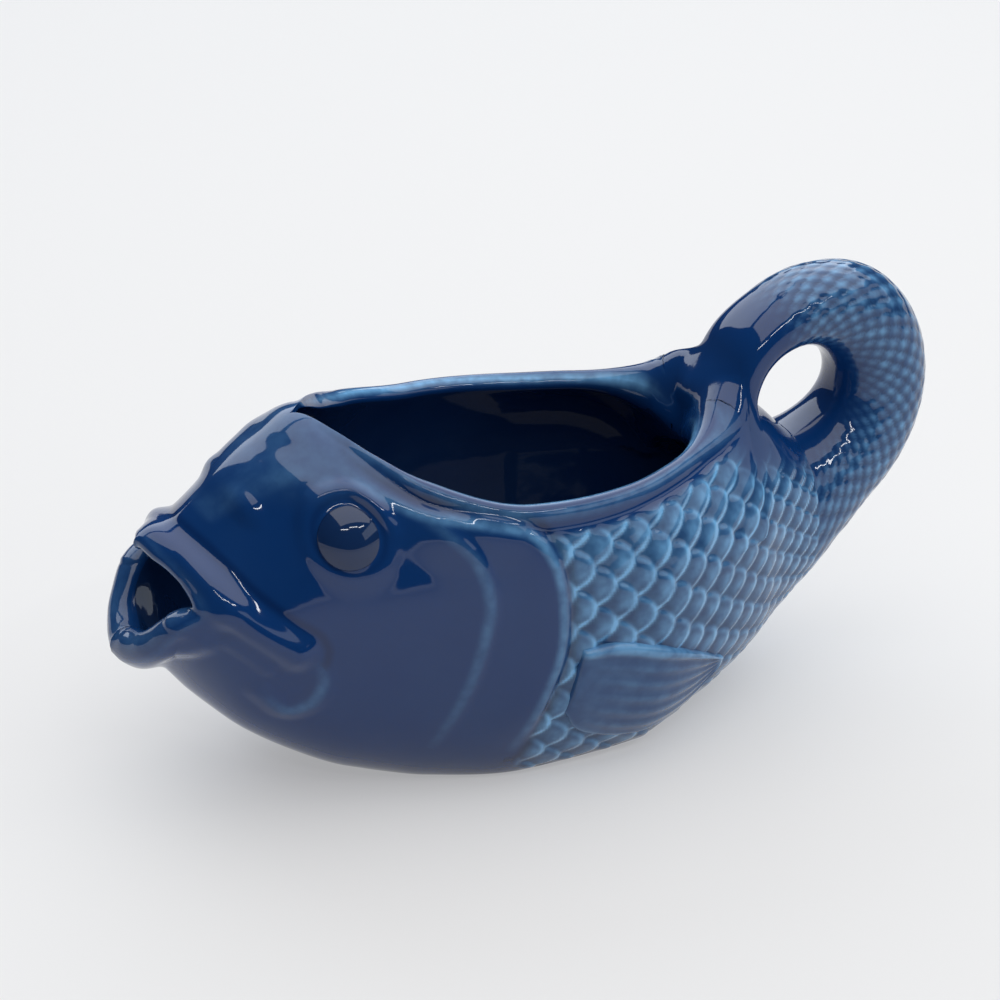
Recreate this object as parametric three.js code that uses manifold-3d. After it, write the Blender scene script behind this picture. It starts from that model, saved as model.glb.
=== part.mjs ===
// Fish-shaped gravy boat in glazed earthenware, in millimetres, +Z up.
// +X runs from the pouring mouth to the tail, Y = 0 is the plane of symmetry, the foot stands on Z = 0.
// The boat is made of separately formed clay pieces that are luted together with slip before firing:
// the hull with its open mouth and bowl, the curled tail that is its handle, two eyes and two fins.

import * as THREE from 'three';
import Module from 'manifold-3d';

const wasm = await Module();
wasm.setup();

// Thickness of clay, the width of a luted joint, and how far a seated piece is shaped into the hull
const WALL = 5;
const SLIP_GAP = 0.3;
const SEAT_DEPTH = 1.5;

// Mouth, which is the spout: lower lip, corners and the peak of the upper lip
const LIP_X = -117.4;
const MOUTH_CORNER_X = -101;
const UPPER_LIP_X = -108;
const LIP_BLUNTNESS = 5;
const LIP_ROLL = 2.4;
const LIP_ROLL_WIDTH = 9;

// Opening of the bowl: its pointed front end and its width
const OPENING_FRONT_X = -67;
const RIM_HALF_WIDTH = 44;
const RIM_SKEW = 0.9;
const RIM_FRONT_POWER = 0.72;
const RIM_BACK_POWER = 0.5;
const RIM_INSET = 1;
const RIM_SOFT_START = 16;

// Back of the stern, and the tail loop above it: the finger hole, and how thick and wide the tail is round it
const BACK_Z = 80;
const LOOP_RISE = 1.5;
const HOLE_X = 77;
const HOLE_Z = BACK_Z + LOOP_RISE;
const HOLE_RADIUS = 13;
const HOLE_STRETCH = 1.5;
const ROOT_DEPTH = 45.7;
const ROOT_HALF_WIDTH = 21.5;
const TAIL_ROUNDNESS = 2.2;
const TIP_THICKNESS = 8.5;
const TIP_HALF_WIDTH = 12.5;
const TIP_FLARE = 13;
const TIP_SWEEP = 9;
const FLARE_ANGLE = 140;
const FLARE_AT_SEAT = 0.5;
const RIM_LEDGE = 0.5;

// Thickness and half width of the tail at angles round the finger hole, from below it to its front
const TAIL_LINES = [
  { angle: -90, thickness: ROOT_DEPTH, halfWidth: ROOT_HALF_WIDTH },
  { angle: -75, thickness: 36.5, halfWidth: 19.5 },
  { angle: -55, thickness: 30.5, halfWidth: 17.5 },
  { angle: 0, thickness: 28.95, halfWidth: 14 },
  { angle: 45, thickness: 27.2, halfWidth: 13.5 },
  { angle: 80, thickness: 21, halfWidth: 13 },
  { angle: 110, thickness: 15.5, halfWidth: 12.5 },
  { angle: 150, thickness: 13, halfWidth: 12.5 },
  { angle: 180, thickness: TIP_THICKNESS, halfWidth: TIP_HALF_WIDTH },
];

// Widest half width of the belly, height of the forehead, and depth of the keel below the foot before it is cut
const HALF_BEAM = 51;
const FOREHEAD_Z = 99.5;
const KEEL_Z = -11;

// The back end of the opening leaves a ledge in front of the tip of the tail
const HOLE_FRONT_X = HOLE_X - HOLE_RADIUS - HOLE_STRETCH;
const OPENING_BACK_X = HOLE_FRONT_X - TIP_THICKNESS - RIM_LEDGE;

// Lines of the hull: the heights of keel, widest point and back, and the half width, at each station.
// A keel below zero is cut off flat, which leaves the foot.
const HULL_LINES = [
  { x: LIP_X, keel: 46, halfWidth: 13, widest: 51.5, back: 60 },
  { x: -108, keel: 39, halfWidth: 21, widest: 55, back: 66 },
  { x: -102, keel: 31.5, halfWidth: 24.5, widest: 56, back: 70.5 },
  { x: -95, keel: 23.5, halfWidth: 27.3, widest: 54.5, back: 78.3 },
  { x: -90, keel: 19, halfWidth: 29, widest: 53, back: 82.5 },
  { x: OPENING_FRONT_X, keel: 3.2, halfWidth: 37.5, widest: 53, back: FOREHEAD_Z },
  { x: -45, keel: -6, halfWidth: 44.5, widest: 57, back: 88.5 },
  { x: -20, keel: KEEL_Z, halfWidth: 50, widest: 56, back: 82.5 },
  { x: 10, keel: -9, halfWidth: HALF_BEAM, widest: 54, back: 81 },
  { x: 35, keel: -0.5, halfWidth: 43.5, widest: 52, back: 80.5 },
  { x: OPENING_BACK_X, keel: 8, halfWidth: 34, widest: 51, back: BACK_Z },
  { x: HOLE_FRONT_X, keel: 14, halfWidth: 28, widest: 50, back: BACK_Z },
  {
    x: HOLE_X,
    keel: HOLE_Z - HOLE_RADIUS - ROOT_DEPTH,
    halfWidth: ROOT_HALF_WIDTH,
    widest: HOLE_Z - HOLE_RADIUS - ROOT_DEPTH / 2,
    back: HOLE_Z - HOLE_RADIUS,
  },
];
const LIP_ROUNDNESS = 1.8;
const CHIN_X = -92;
const BELLY_ROUNDNESS = 2.7;
const SHOULDER_ROUNDNESS = 1.9;

// Inside of the bowl: how far its round end stays short of the tail joint
const BOWL_END_MARGIN = 4;
const BOWL_END_ROUND = 8;

// Eyes: lens-shaped pellets in sockets, each with a lid ring round it
const EYE_X = -64;
const EYE_Z = 77;
const EYE_RADIUS = 6.5;
const EYE_HALF_THICKNESS = 3;
const EYE_STAND = 1;
const LID_RADIUS = 8.2;
const LID_HALF_WIDTH = 4;
const LID_HEIGHT = 2;

// Moulded ridges on each side, as curves in the side view: X and Z of a few points on the crest
const SIDE_RIDGES = [
  {
    part: 'jaw bar', halfWidth: 6.5, height: 2.6,
    crest: [[-109, 73], [-102, 69.5], [-95, 64], [-88, 57], [-83, 51]],
  },
  {
    part: 'brow', halfWidth: 6, height: 1.8,
    crest: [[-94, 78], [-86, 83.5], [-79, 88], [-72, 89.5], [-67, 88]],
  },
  {
    part: 'cheek fold', halfWidth: 5, height: 1.1,
    crest: [[-90, 38], [-84, 32], [-78, 34], [-75, 40], [-76, 47]],
  },
  {
    part: 'gill cover', halfWidth: 6, height: 1.5,
    crest: [[-46, 82], [-37, 73], [-35, 59], [-39, 41], [-47, 18]],
  },
  {
    part: 'gill edge', halfWidth: 6, height: 1.5,
    crest: [[-20, 76], [-15.5, 60], [-16, 44], [-21, 29], [-26, 14]],
  },
];
const CREST_SAMPLES = 24;

// Pectoral fins: upper and lower edge in the side view, from root to tip, and thickness at the edges
const FIN_UPPER = [[-9, 43], [3, 42.5], [20, 35.5], [38, 24]];
const FIN_LOWER = [[-13, 24], [-7, 15.5], [9, 9], [26, 11], [37, 21]];
const FIN_UPPER_THICKNESS = 3;
const FIN_LOWER_THICKNESS = 1.4;
const FIN_TIP_THICKNESS = 1.2;

// Fineness of the facets
const HEAD_STEPS = 20;
const OPENING_STEPS = 26;
const STERN_STEPS = 5;
const GIRTH_STEPS = 24;
const EDGE_STEPS = 4;
const BOWL_END_STEPS = 3;
const TAIL_STEPS = 32;
const TAIL_DROP_STEPS = 3;
const TAIL_SIDES = 24;
const FIN_LENGTH_STEPS = 14;
const FIN_HEIGHT_STEPS = 7;
const EYE_SIDES = 20;
const PROBE = 0.05;

const GLAZE = new THREE.MeshStandardMaterial({ color: 0x1d4f91, roughness: 0.12, metalness: 0 });
const DEEP_GLAZE = new THREE.MeshStandardMaterial({ color: 0x123a78, roughness: 0.1, metalness: 0 });

// Smooth curve through points, with slopes limited so that it never overshoots them
function smoothLine(xs, ys) {
  const last = xs.length - 1;
  const steps = xs.slice(1).map((x, i) => x - xs[i]);
  const slopes = steps.map((step, i) => (ys[i + 1] - ys[i]) / step);
  const tangents = ys.map((y, i) => {
    if (i === 0) return slopes[0];
    if (i === last) return slopes[last - 1];
    if (slopes[i - 1] * slopes[i] <= 0) return 0;
    const before = 2 * steps[i] + steps[i - 1];
    const after = steps[i] + 2 * steps[i - 1];
    return (before + after) / (before / slopes[i - 1] + after / slopes[i]);
  });
  return (x) => {
    let i = 0;
    while (i < last - 1 && x > xs[i + 1]) i += 1;
    const t = THREE.MathUtils.clamp((x - xs[i]) / steps[i], 0, 1);
    const rise = t * t * (3 - 2 * t);
    const leave = t * (1 - t) * (1 - t) * steps[i] * tangents[i];
    const arrive = t * t * (t - 1) * steps[i] * tangents[i + 1];
    return ys[i] + (ys[i + 1] - ys[i]) * rise + leave + arrive;
  };
}

function lineOf(rows, along, what) {
  return smoothLine(rows.map((row) => row[along]), rows.map((row) => row[what]));
}

const keelLine = lineOf(HULL_LINES, 'x', 'keel');
const halfWidthLine = lineOf(HULL_LINES, 'x', 'halfWidth');
const widestLine = lineOf(HULL_LINES, 'x', 'widest');
const backLine = lineOf(HULL_LINES, 'x', 'back');
const bellyRoundness = smoothLine(
  [LIP_X, CHIN_X, OPENING_BACK_X, HOLE_X],
  [LIP_ROUNDNESS, BELLY_ROUNDNESS, BELLY_ROUNDNESS, TAIL_ROUNDNESS],
);
const shoulderRoundness = smoothLine([OPENING_BACK_X, HOLE_X], [SHOULDER_ROUNDNESS, TAIL_ROUNDNESS]);

// Half width of the bowl's opening, kept inside the hull; nothing in front of it and behind it
function rimHalfWidth(x) {
  const t = (x - OPENING_FRONT_X) / (OPENING_BACK_X - OPENING_FRONT_X);
  if (t <= 0 || t >= 1) return 0;
  const power = THREE.MathUtils.lerp(RIM_FRONT_POWER, RIM_BACK_POWER, t);
  const wanted = RIM_HALF_WIDTH * Math.sin(Math.PI * t ** RIM_SKEW) ** power;
  return Math.min(wanted, halfWidthLine(x) - RIM_INSET);
}

// The same opening with soft ends, which the height of the back follows without a crease
function softRimHalfWidth(x) {
  const rim = rimHalfWidth(x);
  return rim * THREE.MathUtils.smoothstep(rim, 0, RIM_SOFT_START);
}

// Point of the right-hand outer skin: girth 0 is the keel, 0.5 the widest point, 1 the rim or back
function skinPoint(x, girth) {
  const halfWidth = halfWidthLine(x);
  const widest = widestLine(x);
  if (girth <= 0.5) {
    const power = 2 / bellyRoundness(x);
    const angle = girth * Math.PI;
    const drop = (widest - keelLine(x)) * Math.abs(Math.cos(angle)) ** power;
    return new THREE.Vector3(x, halfWidth * Math.sin(angle) ** power, Math.max(widest - drop, 0));
  }
  const roundness = shoulderRoundness(x);
  const end = Math.acos((rimHalfWidth(x) / halfWidth) ** (roundness / 2));
  const angle = (2 * girth - 1) * end;
  const crown = Math.acos((softRimHalfWidth(x) / halfWidth) ** (roundness / 2));
  const lift = (Math.sin(angle) / Math.sin(crown)) ** (2 / roundness);
  const y = halfWidth * Math.abs(Math.cos(angle)) ** (2 / roundness);
  return new THREE.Vector3(x, girth === 1 ? rimHalfWidth(x) : y, widest + (backLine(x) - widest) * lift);
}

// Directions of the skin at a point: along the boat, up the girth, and straight out
function skinDirections(x, girth) {
  const low = Math.max(girth - PROBE / 2, 0);
  const high = Math.min(girth + PROBE / 2, 1);
  const along = skinPoint(x + PROBE, girth).sub(skinPoint(x - PROBE, girth)).normalize();
  const up = skinPoint(x, high).sub(skinPoint(x, low)).normalize();
  const out = up.clone().cross(along);
  if (girth === 0 || (girth === 1 && rimHalfWidth(x) === 0)) out.y = 0;
  return { along, up, out: out.normalize() };
}

// Half width of the hull at a place in the side view, and the direction straight out of it
function sideHalfWidth(x, z) {
  const widest = widestLine(x);
  if (z < widest) {
    const share = Math.min((widest - z) / (widest - keelLine(x)), 1);
    return halfWidthLine(x) * (1 - share ** bellyRoundness(x)) ** (1 / bellyRoundness(x));
  }
  const roundness = shoulderRoundness(x);
  const rimShare = (softRimHalfWidth(x) / halfWidthLine(x)) ** roundness;
  const share = Math.min((z - widest) / (backLine(x) - widest), 1) ** roundness * (1 - rimShare);
  return halfWidthLine(x) * (1 - share) ** (1 / roundness);
}

function sidePoint(x, z) {
  return new THREE.Vector3(x, sideHalfWidth(x, z), z);
}

function sideNormal(x, z) {
  const leanX = (sideHalfWidth(x + PROBE, z) - sideHalfWidth(x - PROBE, z)) / (2 * PROBE);
  const leanZ = (sideHalfWidth(x, z + PROBE) - sideHalfWidth(x, z - PROBE)) / (2 * PROBE);
  return new THREE.Vector3(-leanX, 1, -leanZ).normalize();
}

// Round swelling that is full at zero distance and gone at the given half width
function swelling(distance, halfWidth) {
  if (distance >= halfWidth) return 0;
  return 0.5 + 0.5 * Math.cos(Math.PI * distance / halfWidth);
}

const crests = SIDE_RIDGES.map((ridge) => {
  const curve = new THREE.SplineCurve(ridge.crest.map(([x, z]) => new THREE.Vector2(x, z)));
  return { ...ridge, points: curve.getPoints(CREST_SAMPLES) };
});

function distanceToCrest(place, points) {
  let nearest = Infinity;
  for (let i = 1; i < points.length; i += 1) {
    const run = points[i].clone().sub(points[i - 1]);
    const t = place.clone().sub(points[i - 1]).dot(run) / run.lengthSq();
    const foot = points[i - 1].clone().addScaledVector(run, THREE.MathUtils.clamp(t, 0, 1));
    nearest = Math.min(nearest, foot.distanceTo(place));
  }
  return nearest;
}

// Height of the moulded relief above the plain skin; only the lower lip is rolled
function relief(point, fromLip, girth) {
  const place = new THREE.Vector2(point.x, point.z);
  const lowerLip = 1 - THREE.MathUtils.smoothstep(girth, 0.5, 0.68);
  let height = LIP_ROLL * lowerLip * swelling(fromLip, LIP_ROLL_WIDTH);
  for (const ridge of crests) {
    height += ridge.height * swelling(distanceToCrest(place, ridge.points), ridge.halfWidth);
  }
  const fromEye = Math.hypot(point.x - EYE_X, point.z - EYE_Z);
  return height + LID_HEIGHT * swelling(Math.abs(fromEye - LID_RADIUS), LID_HALF_WIDTH);
}

// Edge of the mouth: forward at the lower lip, set back at the corners, less so at the upper lip
function mouthEdgeX(girth) {
  const wave = 0.5 - 0.5 * Math.cos(2 * Math.PI * girth);
  if (girth <= 0.5) return LIP_X + (MOUTH_CORNER_X - LIP_X) * wave ** LIP_BLUNTNESS;
  return MOUTH_CORNER_X + (UPPER_LIP_X - MOUTH_CORNER_X) * (1 - wave);
}

// X of each row of facets at one girth: the head is gathered at the mouth, the rest is square to X
function rowPlaces(girth) {
  const edge = mouthEdgeX(girth);
  const places = [];
  for (let i = 0; i < HEAD_STEPS; i += 1) {
    places.push(edge + (OPENING_FRONT_X - edge) * i / HEAD_STEPS);
  }
  for (let i = 0; i < OPENING_STEPS; i += 1) {
    const even = i / OPENING_STEPS;
    const crowded = 0.5 - 0.5 * Math.cos(Math.PI * even);
    places.push(OPENING_FRONT_X + (OPENING_BACK_X - OPENING_FRONT_X) * (even + crowded) / 2);
  }
  for (let i = 0; i <= STERN_STEPS; i += 1) {
    places.push(OPENING_BACK_X + (HOLE_X - OPENING_BACK_X) * i / STERN_STEPS);
  }
  return places;
}

// Columns run from the left rim down to the keel and up to the right rim
function hullColumn(column) {
  const side = column < GIRTH_STEPS ? -1 : 1;
  const girth = Math.abs(column - GIRTH_STEPS) / GIRTH_STEPS;
  const edge = mouthEdgeX(girth);
  return rowPlaces(girth).map((x) => {
    const plain = skinPoint(x, girth);
    const { along, up, out } = skinDirections(x, girth);
    const outer = plain.clone().addScaledVector(out, relief(plain, x - edge, girth));
    const inner = plain.clone().addScaledVector(out, -WALL);
    const spots = { outer, inner, along, up };
    for (const spot of Object.values(spots)) spot.y *= side;
    return spots;
  });
}

// Round edge from the outer to the inner skin, bulging in the given direction
function roundEdge(outer, inner, bulge) {
  const middle = outer.clone().add(inner).multiplyScalar(0.5);
  const half = outer.clone().sub(middle);
  return Array.from({ length: EDGE_STEPS + 1 }, (_, i) => {
    const angle = Math.PI * i / EDGE_STEPS;
    return middle.clone().addScaledVector(half, Math.cos(angle)).addScaledVector(bulge, Math.sin(angle));
  });
}

// Facets of a net of points; rows lead along the boat, and columns up its right-hand side
function netFacets(net) {
  const facets = [];
  for (let i = 0; i + 1 < net.length; i += 1) {
    for (let j = 0; j + 1 < net[i].length; j += 1) {
      facets.push([net[i][j], net[i][j + 1], net[i + 1][j + 1]]);
      facets.push([net[i][j], net[i + 1][j + 1], net[i + 1][j]]);
    }
  }
  return facets;
}

function turned(facets) {
  return facets.map(([a, b, c]) => [a, c, b]);
}

// Rows that shrink a ring of points to its middle, pushed along X as they shrink
function closingRows(ring, push) {
  const middle = ring.reduce((sum, p) => sum.add(p), new THREE.Vector3()).divideScalar(ring.length);
  return Array.from({ length: BOWL_END_STEPS }, (_, i) => {
    const angle = Math.PI / 2 * (i + 1) / BOWL_END_STEPS;
    const scale = i + 1 === BOWL_END_STEPS ? 0 : Math.cos(angle);
    return ring.map((p) => {
      const row = middle.clone().lerp(p, scale);
      row.x += push * Math.sin(angle);
      return row;
    });
  });
}

// Closed mesh from facets: equal corners become one, and facets without area are dropped
function closedGeometry(facets) {
  const positions = [];
  const index = [];
  const known = new Map();
  const cornerOf = (p) => {
    const key = `${p.x.toFixed(4)},${(p.y + 0).toFixed(4)},${p.z.toFixed(4)}`.replaceAll('-0.0000', '0.0000');
    if (!known.has(key)) {
      known.set(key, known.size);
      positions.push(p.x, p.y, p.z);
    }
    return known.get(key);
  };
  for (const facet of facets) {
    const [a, b, c] = facet.map(cornerOf);
    if (a !== b && b !== c && c !== a) index.push(a, b, c);
  }
  const geometry = new THREE.BufferGeometry();
  geometry.setAttribute('position', new THREE.Float32BufferAttribute(positions, 3));
  geometry.setIndex(index);
  return geometry;
}

function toSolid(geometry) {
  const vertProperties = Float32Array.from(geometry.getAttribute('position').array);
  const triVerts = Uint32Array.from(geometry.getIndex().array);
  return new wasm.Manifold(new wasm.Mesh({ numProp: 3, vertProperties, triVerts }));
}

function toGeometry(solid) {
  const mesh = solid.getMesh();
  const geometry = new THREE.BufferGeometry();
  geometry.setAttribute('position', new THREE.Float32BufferAttribute(mesh.vertProperties, 3));
  geometry.setIndex(Array.from(mesh.triVerts));
  return geometry;
}

// Hull: outer and inner skin, joined by the round lip of the mouth and the round rim of the bowl
function hullGeometry() {
  const columns = Array.from({ length: 2 * GIRTH_STEPS + 1 }, (_, j) => hullColumn(j));
  const rowCount = columns[0].length;
  const rows = (skin) => Array.from({ length: rowCount }, (_, i) => columns.map((column) => column[i][skin]));
  const outer = rows('outer');
  const bowlEnd = HOLE_X - BOWL_END_MARGIN - BOWL_END_ROUND;
  const inner = rows('inner').filter((row, i) => columns[GIRTH_STEPS][i].outer.x <= bowlEnd);
  inner.push(...closingRows(inner.at(-1), BOWL_END_ROUND));
  const facets = [...netFacets(outer), ...turned(netFacets(inner))];

  const lip = columns.map((column) => {
    const { outer: from, inner: to, along } = column[0];
    return roundEdge(from, to, along.clone().multiplyScalar(-from.distanceTo(to) / 2));
  });
  facets.push(...netFacets(lip));

  const openRows = [HEAD_STEPS, HEAD_STEPS + OPENING_STEPS];
  for (const column of [columns[0], columns.at(-1)]) {
    const rim = column.slice(openRows[0], openRows[1] + 1).map(({ outer: from, inner: to, up }) => {
      const bulge = Math.min(WALL, Math.abs(from.y)) / 2;
      return roundEdge(from, to, up.clone().multiplyScalar(bulge));
    });
    facets.push(...(column === columns[0] ? turned(netFacets(rim)) : netFacets(rim)));
  }

  const joint = outer.at(-1);
  const jointMiddle = new THREE.Vector3(HOLE_X, 0, widestLine(HOLE_X));
  joint.slice(1).forEach((corner, j) => facets.push([joint[j], corner, jointMiddle]));
  return closedGeometry(facets);
}

const tailThickness = lineOf(TAIL_LINES, 'angle', 'thickness');
const tailHalfWidth = lineOf(TAIL_LINES, 'angle', 'halfWidth');

// One ring of the tail, square to its run, at an angle round the finger hole.
// A flared ring is wider, and its sides are swept towards the mouth.
function tailRing(degrees, flared) {
  const angle = THREE.MathUtils.degToRad(degrees);
  const half = tailThickness(degrees) / 2;
  const halfWidth = tailHalfWidth(degrees) + TIP_FLARE * flared * flared;
  const power = 2 / TAIL_ROUNDNESS;
  return Array.from({ length: TAIL_SIDES + 1 }, (_, j) => {
    const turn = 2 * Math.PI * j / TAIL_SIDES;
    const reach = Math.sign(Math.cos(turn)) * Math.abs(Math.cos(turn)) ** power;
    const side = Math.sign(Math.sin(turn)) * Math.abs(Math.sin(turn)) ** power;
    const radius = HOLE_RADIUS + half + half * reach;
    const x = HOLE_X + (radius + HOLE_STRETCH) * Math.cos(angle) - TIP_SWEEP * flared * side * side;
    return new THREE.Vector3(x, halfWidth * side, HOLE_Z + radius * Math.sin(angle));
  });
}

// Height of the hull's back under the tip of the tail
function backHeight(x, y) {
  const roundness = shoulderRoundness(x);
  const rimShare = (softRimHalfWidth(x) / halfWidthLine(x)) ** roundness;
  const share = Math.min(Math.abs(y) / halfWidthLine(x), 1) ** roundness;
  const lift = ((1 - share) / (1 - rimShare)) ** (1 / roundness);
  return widestLine(x) + (backLine(x) - widestLine(x)) * lift;
}

// Tail: curls round the finger hole from the joint below it, and its tip reaches just into the hull's back
function tailForm() {
  const firstAngle = TAIL_LINES[0].angle;
  const lastAngle = TAIL_LINES.at(-1).angle;
  const rows = Array.from({ length: TAIL_STEPS + 1 }, (_, i) => {
    const angle = firstAngle + (lastAngle - firstAngle) * i / TAIL_STEPS;
    const flared = Math.max(angle - FLARE_ANGLE, 0) / (lastAngle - FLARE_ANGLE) * (1 - FLARE_AT_SEAT);
    return tailRing(angle, flared);
  });
  for (const corner of rows[0]) corner.x += SLIP_GAP;
  for (let i = 1; i <= TAIL_DROP_STEPS; i += 1) {
    const share = i / TAIL_DROP_STEPS;
    rows.push(tailRing(lastAngle, 1 - FLARE_AT_SEAT * (1 - share)).map((corner) => {
      const seat = backHeight(corner.x, corner.y) - SEAT_DEPTH;
      return corner.setZ(THREE.MathUtils.lerp(HOLE_Z, seat, share));
    }));
  }
  const tipMiddle = new THREE.Vector3(HOLE_FRONT_X - TIP_THICKNESS / 2, 0, BACK_Z - SEAT_DEPTH);
  rows.push(rows.at(-1).map(() => tipMiddle));
  const root = rows[0];
  const rootMiddle = new THREE.Vector3(HOLE_X + SLIP_GAP, 0, HOLE_Z - HOLE_RADIUS - ROOT_DEPTH / 2);
  const facets = netFacets(rows);
  root.slice(1).forEach((corner, j) => facets.push([corner, root[j], rootMiddle]));
  return closedGeometry(facets);
}

// The seat of the tip is the hull's own back, one slip gap higher
function tailGeometry(hull) {
  const seat = hull.clone().translate(0, 0, SLIP_GAP);
  return toGeometry(toSolid(tailForm()).subtract(toSolid(seat)));
}

// Fin on the right-hand side: a leaf that follows the belly, thick along its upper edge, set just into the hull
function finForm() {
  const edge = (points) => new THREE.SplineCurve(points.map(([x, z]) => new THREE.Vector2(x, z)));
  const upper = edge(FIN_UPPER);
  const lower = edge(FIN_LOWER);
  const net = (heightOf) => Array.from({ length: FIN_LENGTH_STEPS + 1 }, (_, i) => {
    const along = i / FIN_LENGTH_STEPS;
    return Array.from({ length: FIN_HEIGHT_STEPS + 1 }, (__, j) => {
      const across = j / FIN_HEIGHT_STEPS;
      const place = lower.getPoint(along).lerp(upper.getPoint(along), across);
      const skin = sidePoint(place.x, place.y);
      const normal = sideNormal(place.x, place.y);
      return skin.addScaledVector(normal, relief(skin, Infinity, 0) + heightOf(along, across));
    });
  });
  const thickness = (along, across) => {
    const root = THREE.MathUtils.lerp(FIN_LOWER_THICKNESS, FIN_UPPER_THICKNESS, across * across);
    return THREE.MathUtils.lerp(root, FIN_TIP_THICKNESS, along * along);
  };
  const seat = net(() => -SEAT_DEPTH);
  const face = net((along, across) => SLIP_GAP + thickness(along, across));
  const facets = [...netFacets(face), ...turned(netFacets(seat))];
  const lastColumn = FIN_HEIGHT_STEPS;
  facets.push(...netFacets([seat[0], face[0]]));
  facets.push(...turned(netFacets([seat.at(-1), face.at(-1)])));
  facets.push(...netFacets(seat.map((row, i) => [row[0], face[i][0]])));
  facets.push(...netFacets(seat.map((row, i) => [face[i][lastColumn], row[lastColumn]])));
  return closedGeometry(facets);
}

// The seat of the fin is the hull's own side, one slip gap further out
function finGeometry(hull) {
  const seat = hull.clone().translate(0, SLIP_GAP, 0);
  return toGeometry(toSolid(finForm()).subtract(toSolid(seat)));
}

function mirrored(geometry) {
  const copy = geometry.clone().scale(1, -1, 1);
  const index = Array.from(copy.getIndex().array);
  for (let i = 0; i < index.length; i += 3) [index[i + 1], index[i + 2]] = [index[i + 2], index[i + 1]];
  return copy.setIndex(index);
}

// Eye pellet of the right-hand side, or the larger form that hollows out its socket
function eyeGeometry(clearance) {
  const normal = sideNormal(EYE_X, EYE_Z);
  const middle = sidePoint(EYE_X, EYE_Z).addScaledVector(normal, EYE_STAND);
  const turn = new THREE.Quaternion().setFromUnitVectors(new THREE.Vector3(0, 1, 0), normal);
  const lens = new THREE.SphereGeometry(1, EYE_SIDES, EYE_SIDES / 2);
  lens.scale(EYE_RADIUS + clearance, EYE_HALF_THICKNESS + clearance, EYE_RADIUS + clearance);
  lens.applyQuaternion(turn).translate(middle.x, middle.y, middle.z);
  const corners = lens.getAttribute('position');
  const cornerAt = (i) => new THREE.Vector3().fromBufferAttribute(corners, i);
  const index = lens.getIndex().array;
  const facets = [];
  for (let i = 0; i < index.length; i += 3) facets.push([index[i], index[i + 1], index[i + 2]].map(cornerAt));
  return closedGeometry(facets);
}

function withSockets(hull) {
  const socket = eyeGeometry(SLIP_GAP);
  return toGeometry(toSolid(hull).subtract(toSolid(socket)).subtract(toSolid(mirrored(socket))));
}

function addPiece(group, name, geometry, material) {
  const mesh = new THREE.Mesh(geometry, material);
  mesh.name = name;
  group.add(mesh);
}

const gravyBoat = new THREE.Group();
const hull = hullGeometry();
addPiece(gravyBoat, 'hull', withSockets(hull), GLAZE);
addPiece(gravyBoat, 'tail_handle', tailGeometry(hull), GLAZE);
const eye = eyeGeometry(0);
addPiece(gravyBoat, 'eye_right', eye, DEEP_GLAZE);
addPiece(gravyBoat, 'eye_left', mirrored(eye), DEEP_GLAZE);
addPiece(gravyBoat, 'pectoral_fin_right', finGeometry(hull), GLAZE);
addPiece(gravyBoat, 'pectoral_fin_left', mirrored(finGeometry(mirrored(hull))), GLAZE);

export default gravyBoat;
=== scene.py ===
"""Fish-shaped gravy boat in deep blue glaze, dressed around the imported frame.

Lengths are millimetres in the object's frame (+X mouth to tail, +Z up). A piece's mesh is made in metres,
and the floor and the lamps are given in metres.
"""
import math
from collections import namedtuple

import bpy
import numpy as np
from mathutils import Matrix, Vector
from mathutils.kdtree import KDTree


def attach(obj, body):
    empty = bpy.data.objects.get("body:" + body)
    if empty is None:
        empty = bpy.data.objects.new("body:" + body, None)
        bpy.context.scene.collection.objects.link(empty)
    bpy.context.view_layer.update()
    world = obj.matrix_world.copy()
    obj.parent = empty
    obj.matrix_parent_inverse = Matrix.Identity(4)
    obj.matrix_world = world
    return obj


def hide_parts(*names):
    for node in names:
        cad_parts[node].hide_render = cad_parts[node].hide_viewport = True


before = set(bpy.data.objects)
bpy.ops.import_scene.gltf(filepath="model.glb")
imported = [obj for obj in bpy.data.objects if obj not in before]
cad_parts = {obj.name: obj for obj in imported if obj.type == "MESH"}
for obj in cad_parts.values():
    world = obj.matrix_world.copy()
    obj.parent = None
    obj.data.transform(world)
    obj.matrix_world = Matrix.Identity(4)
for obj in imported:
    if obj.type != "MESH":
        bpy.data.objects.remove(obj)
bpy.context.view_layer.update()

MM = 0.001

# Clay wall, mouth and the opening of the bowl
WALL = 5.0
LIP_X = -117.1
LIP_ROLL = 1.5
UPPER_LIP_THINNING = 2.3
LIP_ROLL_REACH = 14.0
LIP_SWELL = 3.0
LIP_CORNER_SWELL = 0.6
LIP_SWELL_REACH = 10.5
MOUTH_CORNER_X = -102.0
FOREHEAD_X = -67.0
OPENING_FRONT_X = -69.5
OPENING_POINT = 8.0
OPENING_BACK_X = 53.5
RIM_HALF_WIDTH = 44.0
RIM_SKEW = 0.9
RIM_FRONT_POWER = 0.72
RIM_BACK_POWER = 0.5
RIM_SOFT_START = 16.0
RIM_ROLL_SHARE = 0.4
RIM_GROWTH_FRONT = 28.0
RIM_GROWTH_BACK = 14.0
RIM_BEAD = 0.7
RIM_GROOVE = 0.4
TIP_WALL = 1.4
TIP_WALL_REACH = 16.0
BOWL_END_DEPTH = 11.0
BOWL_END_ANGLES = (0.35, 0.7, 1.05, 1.4)

# Bead and groove of the rim: distance from its edge, and spread
RIM_BEAD_LINE = (0.8, 3.2)
RIM_GROOVE_LINE = (4.6, 1.9)

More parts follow.
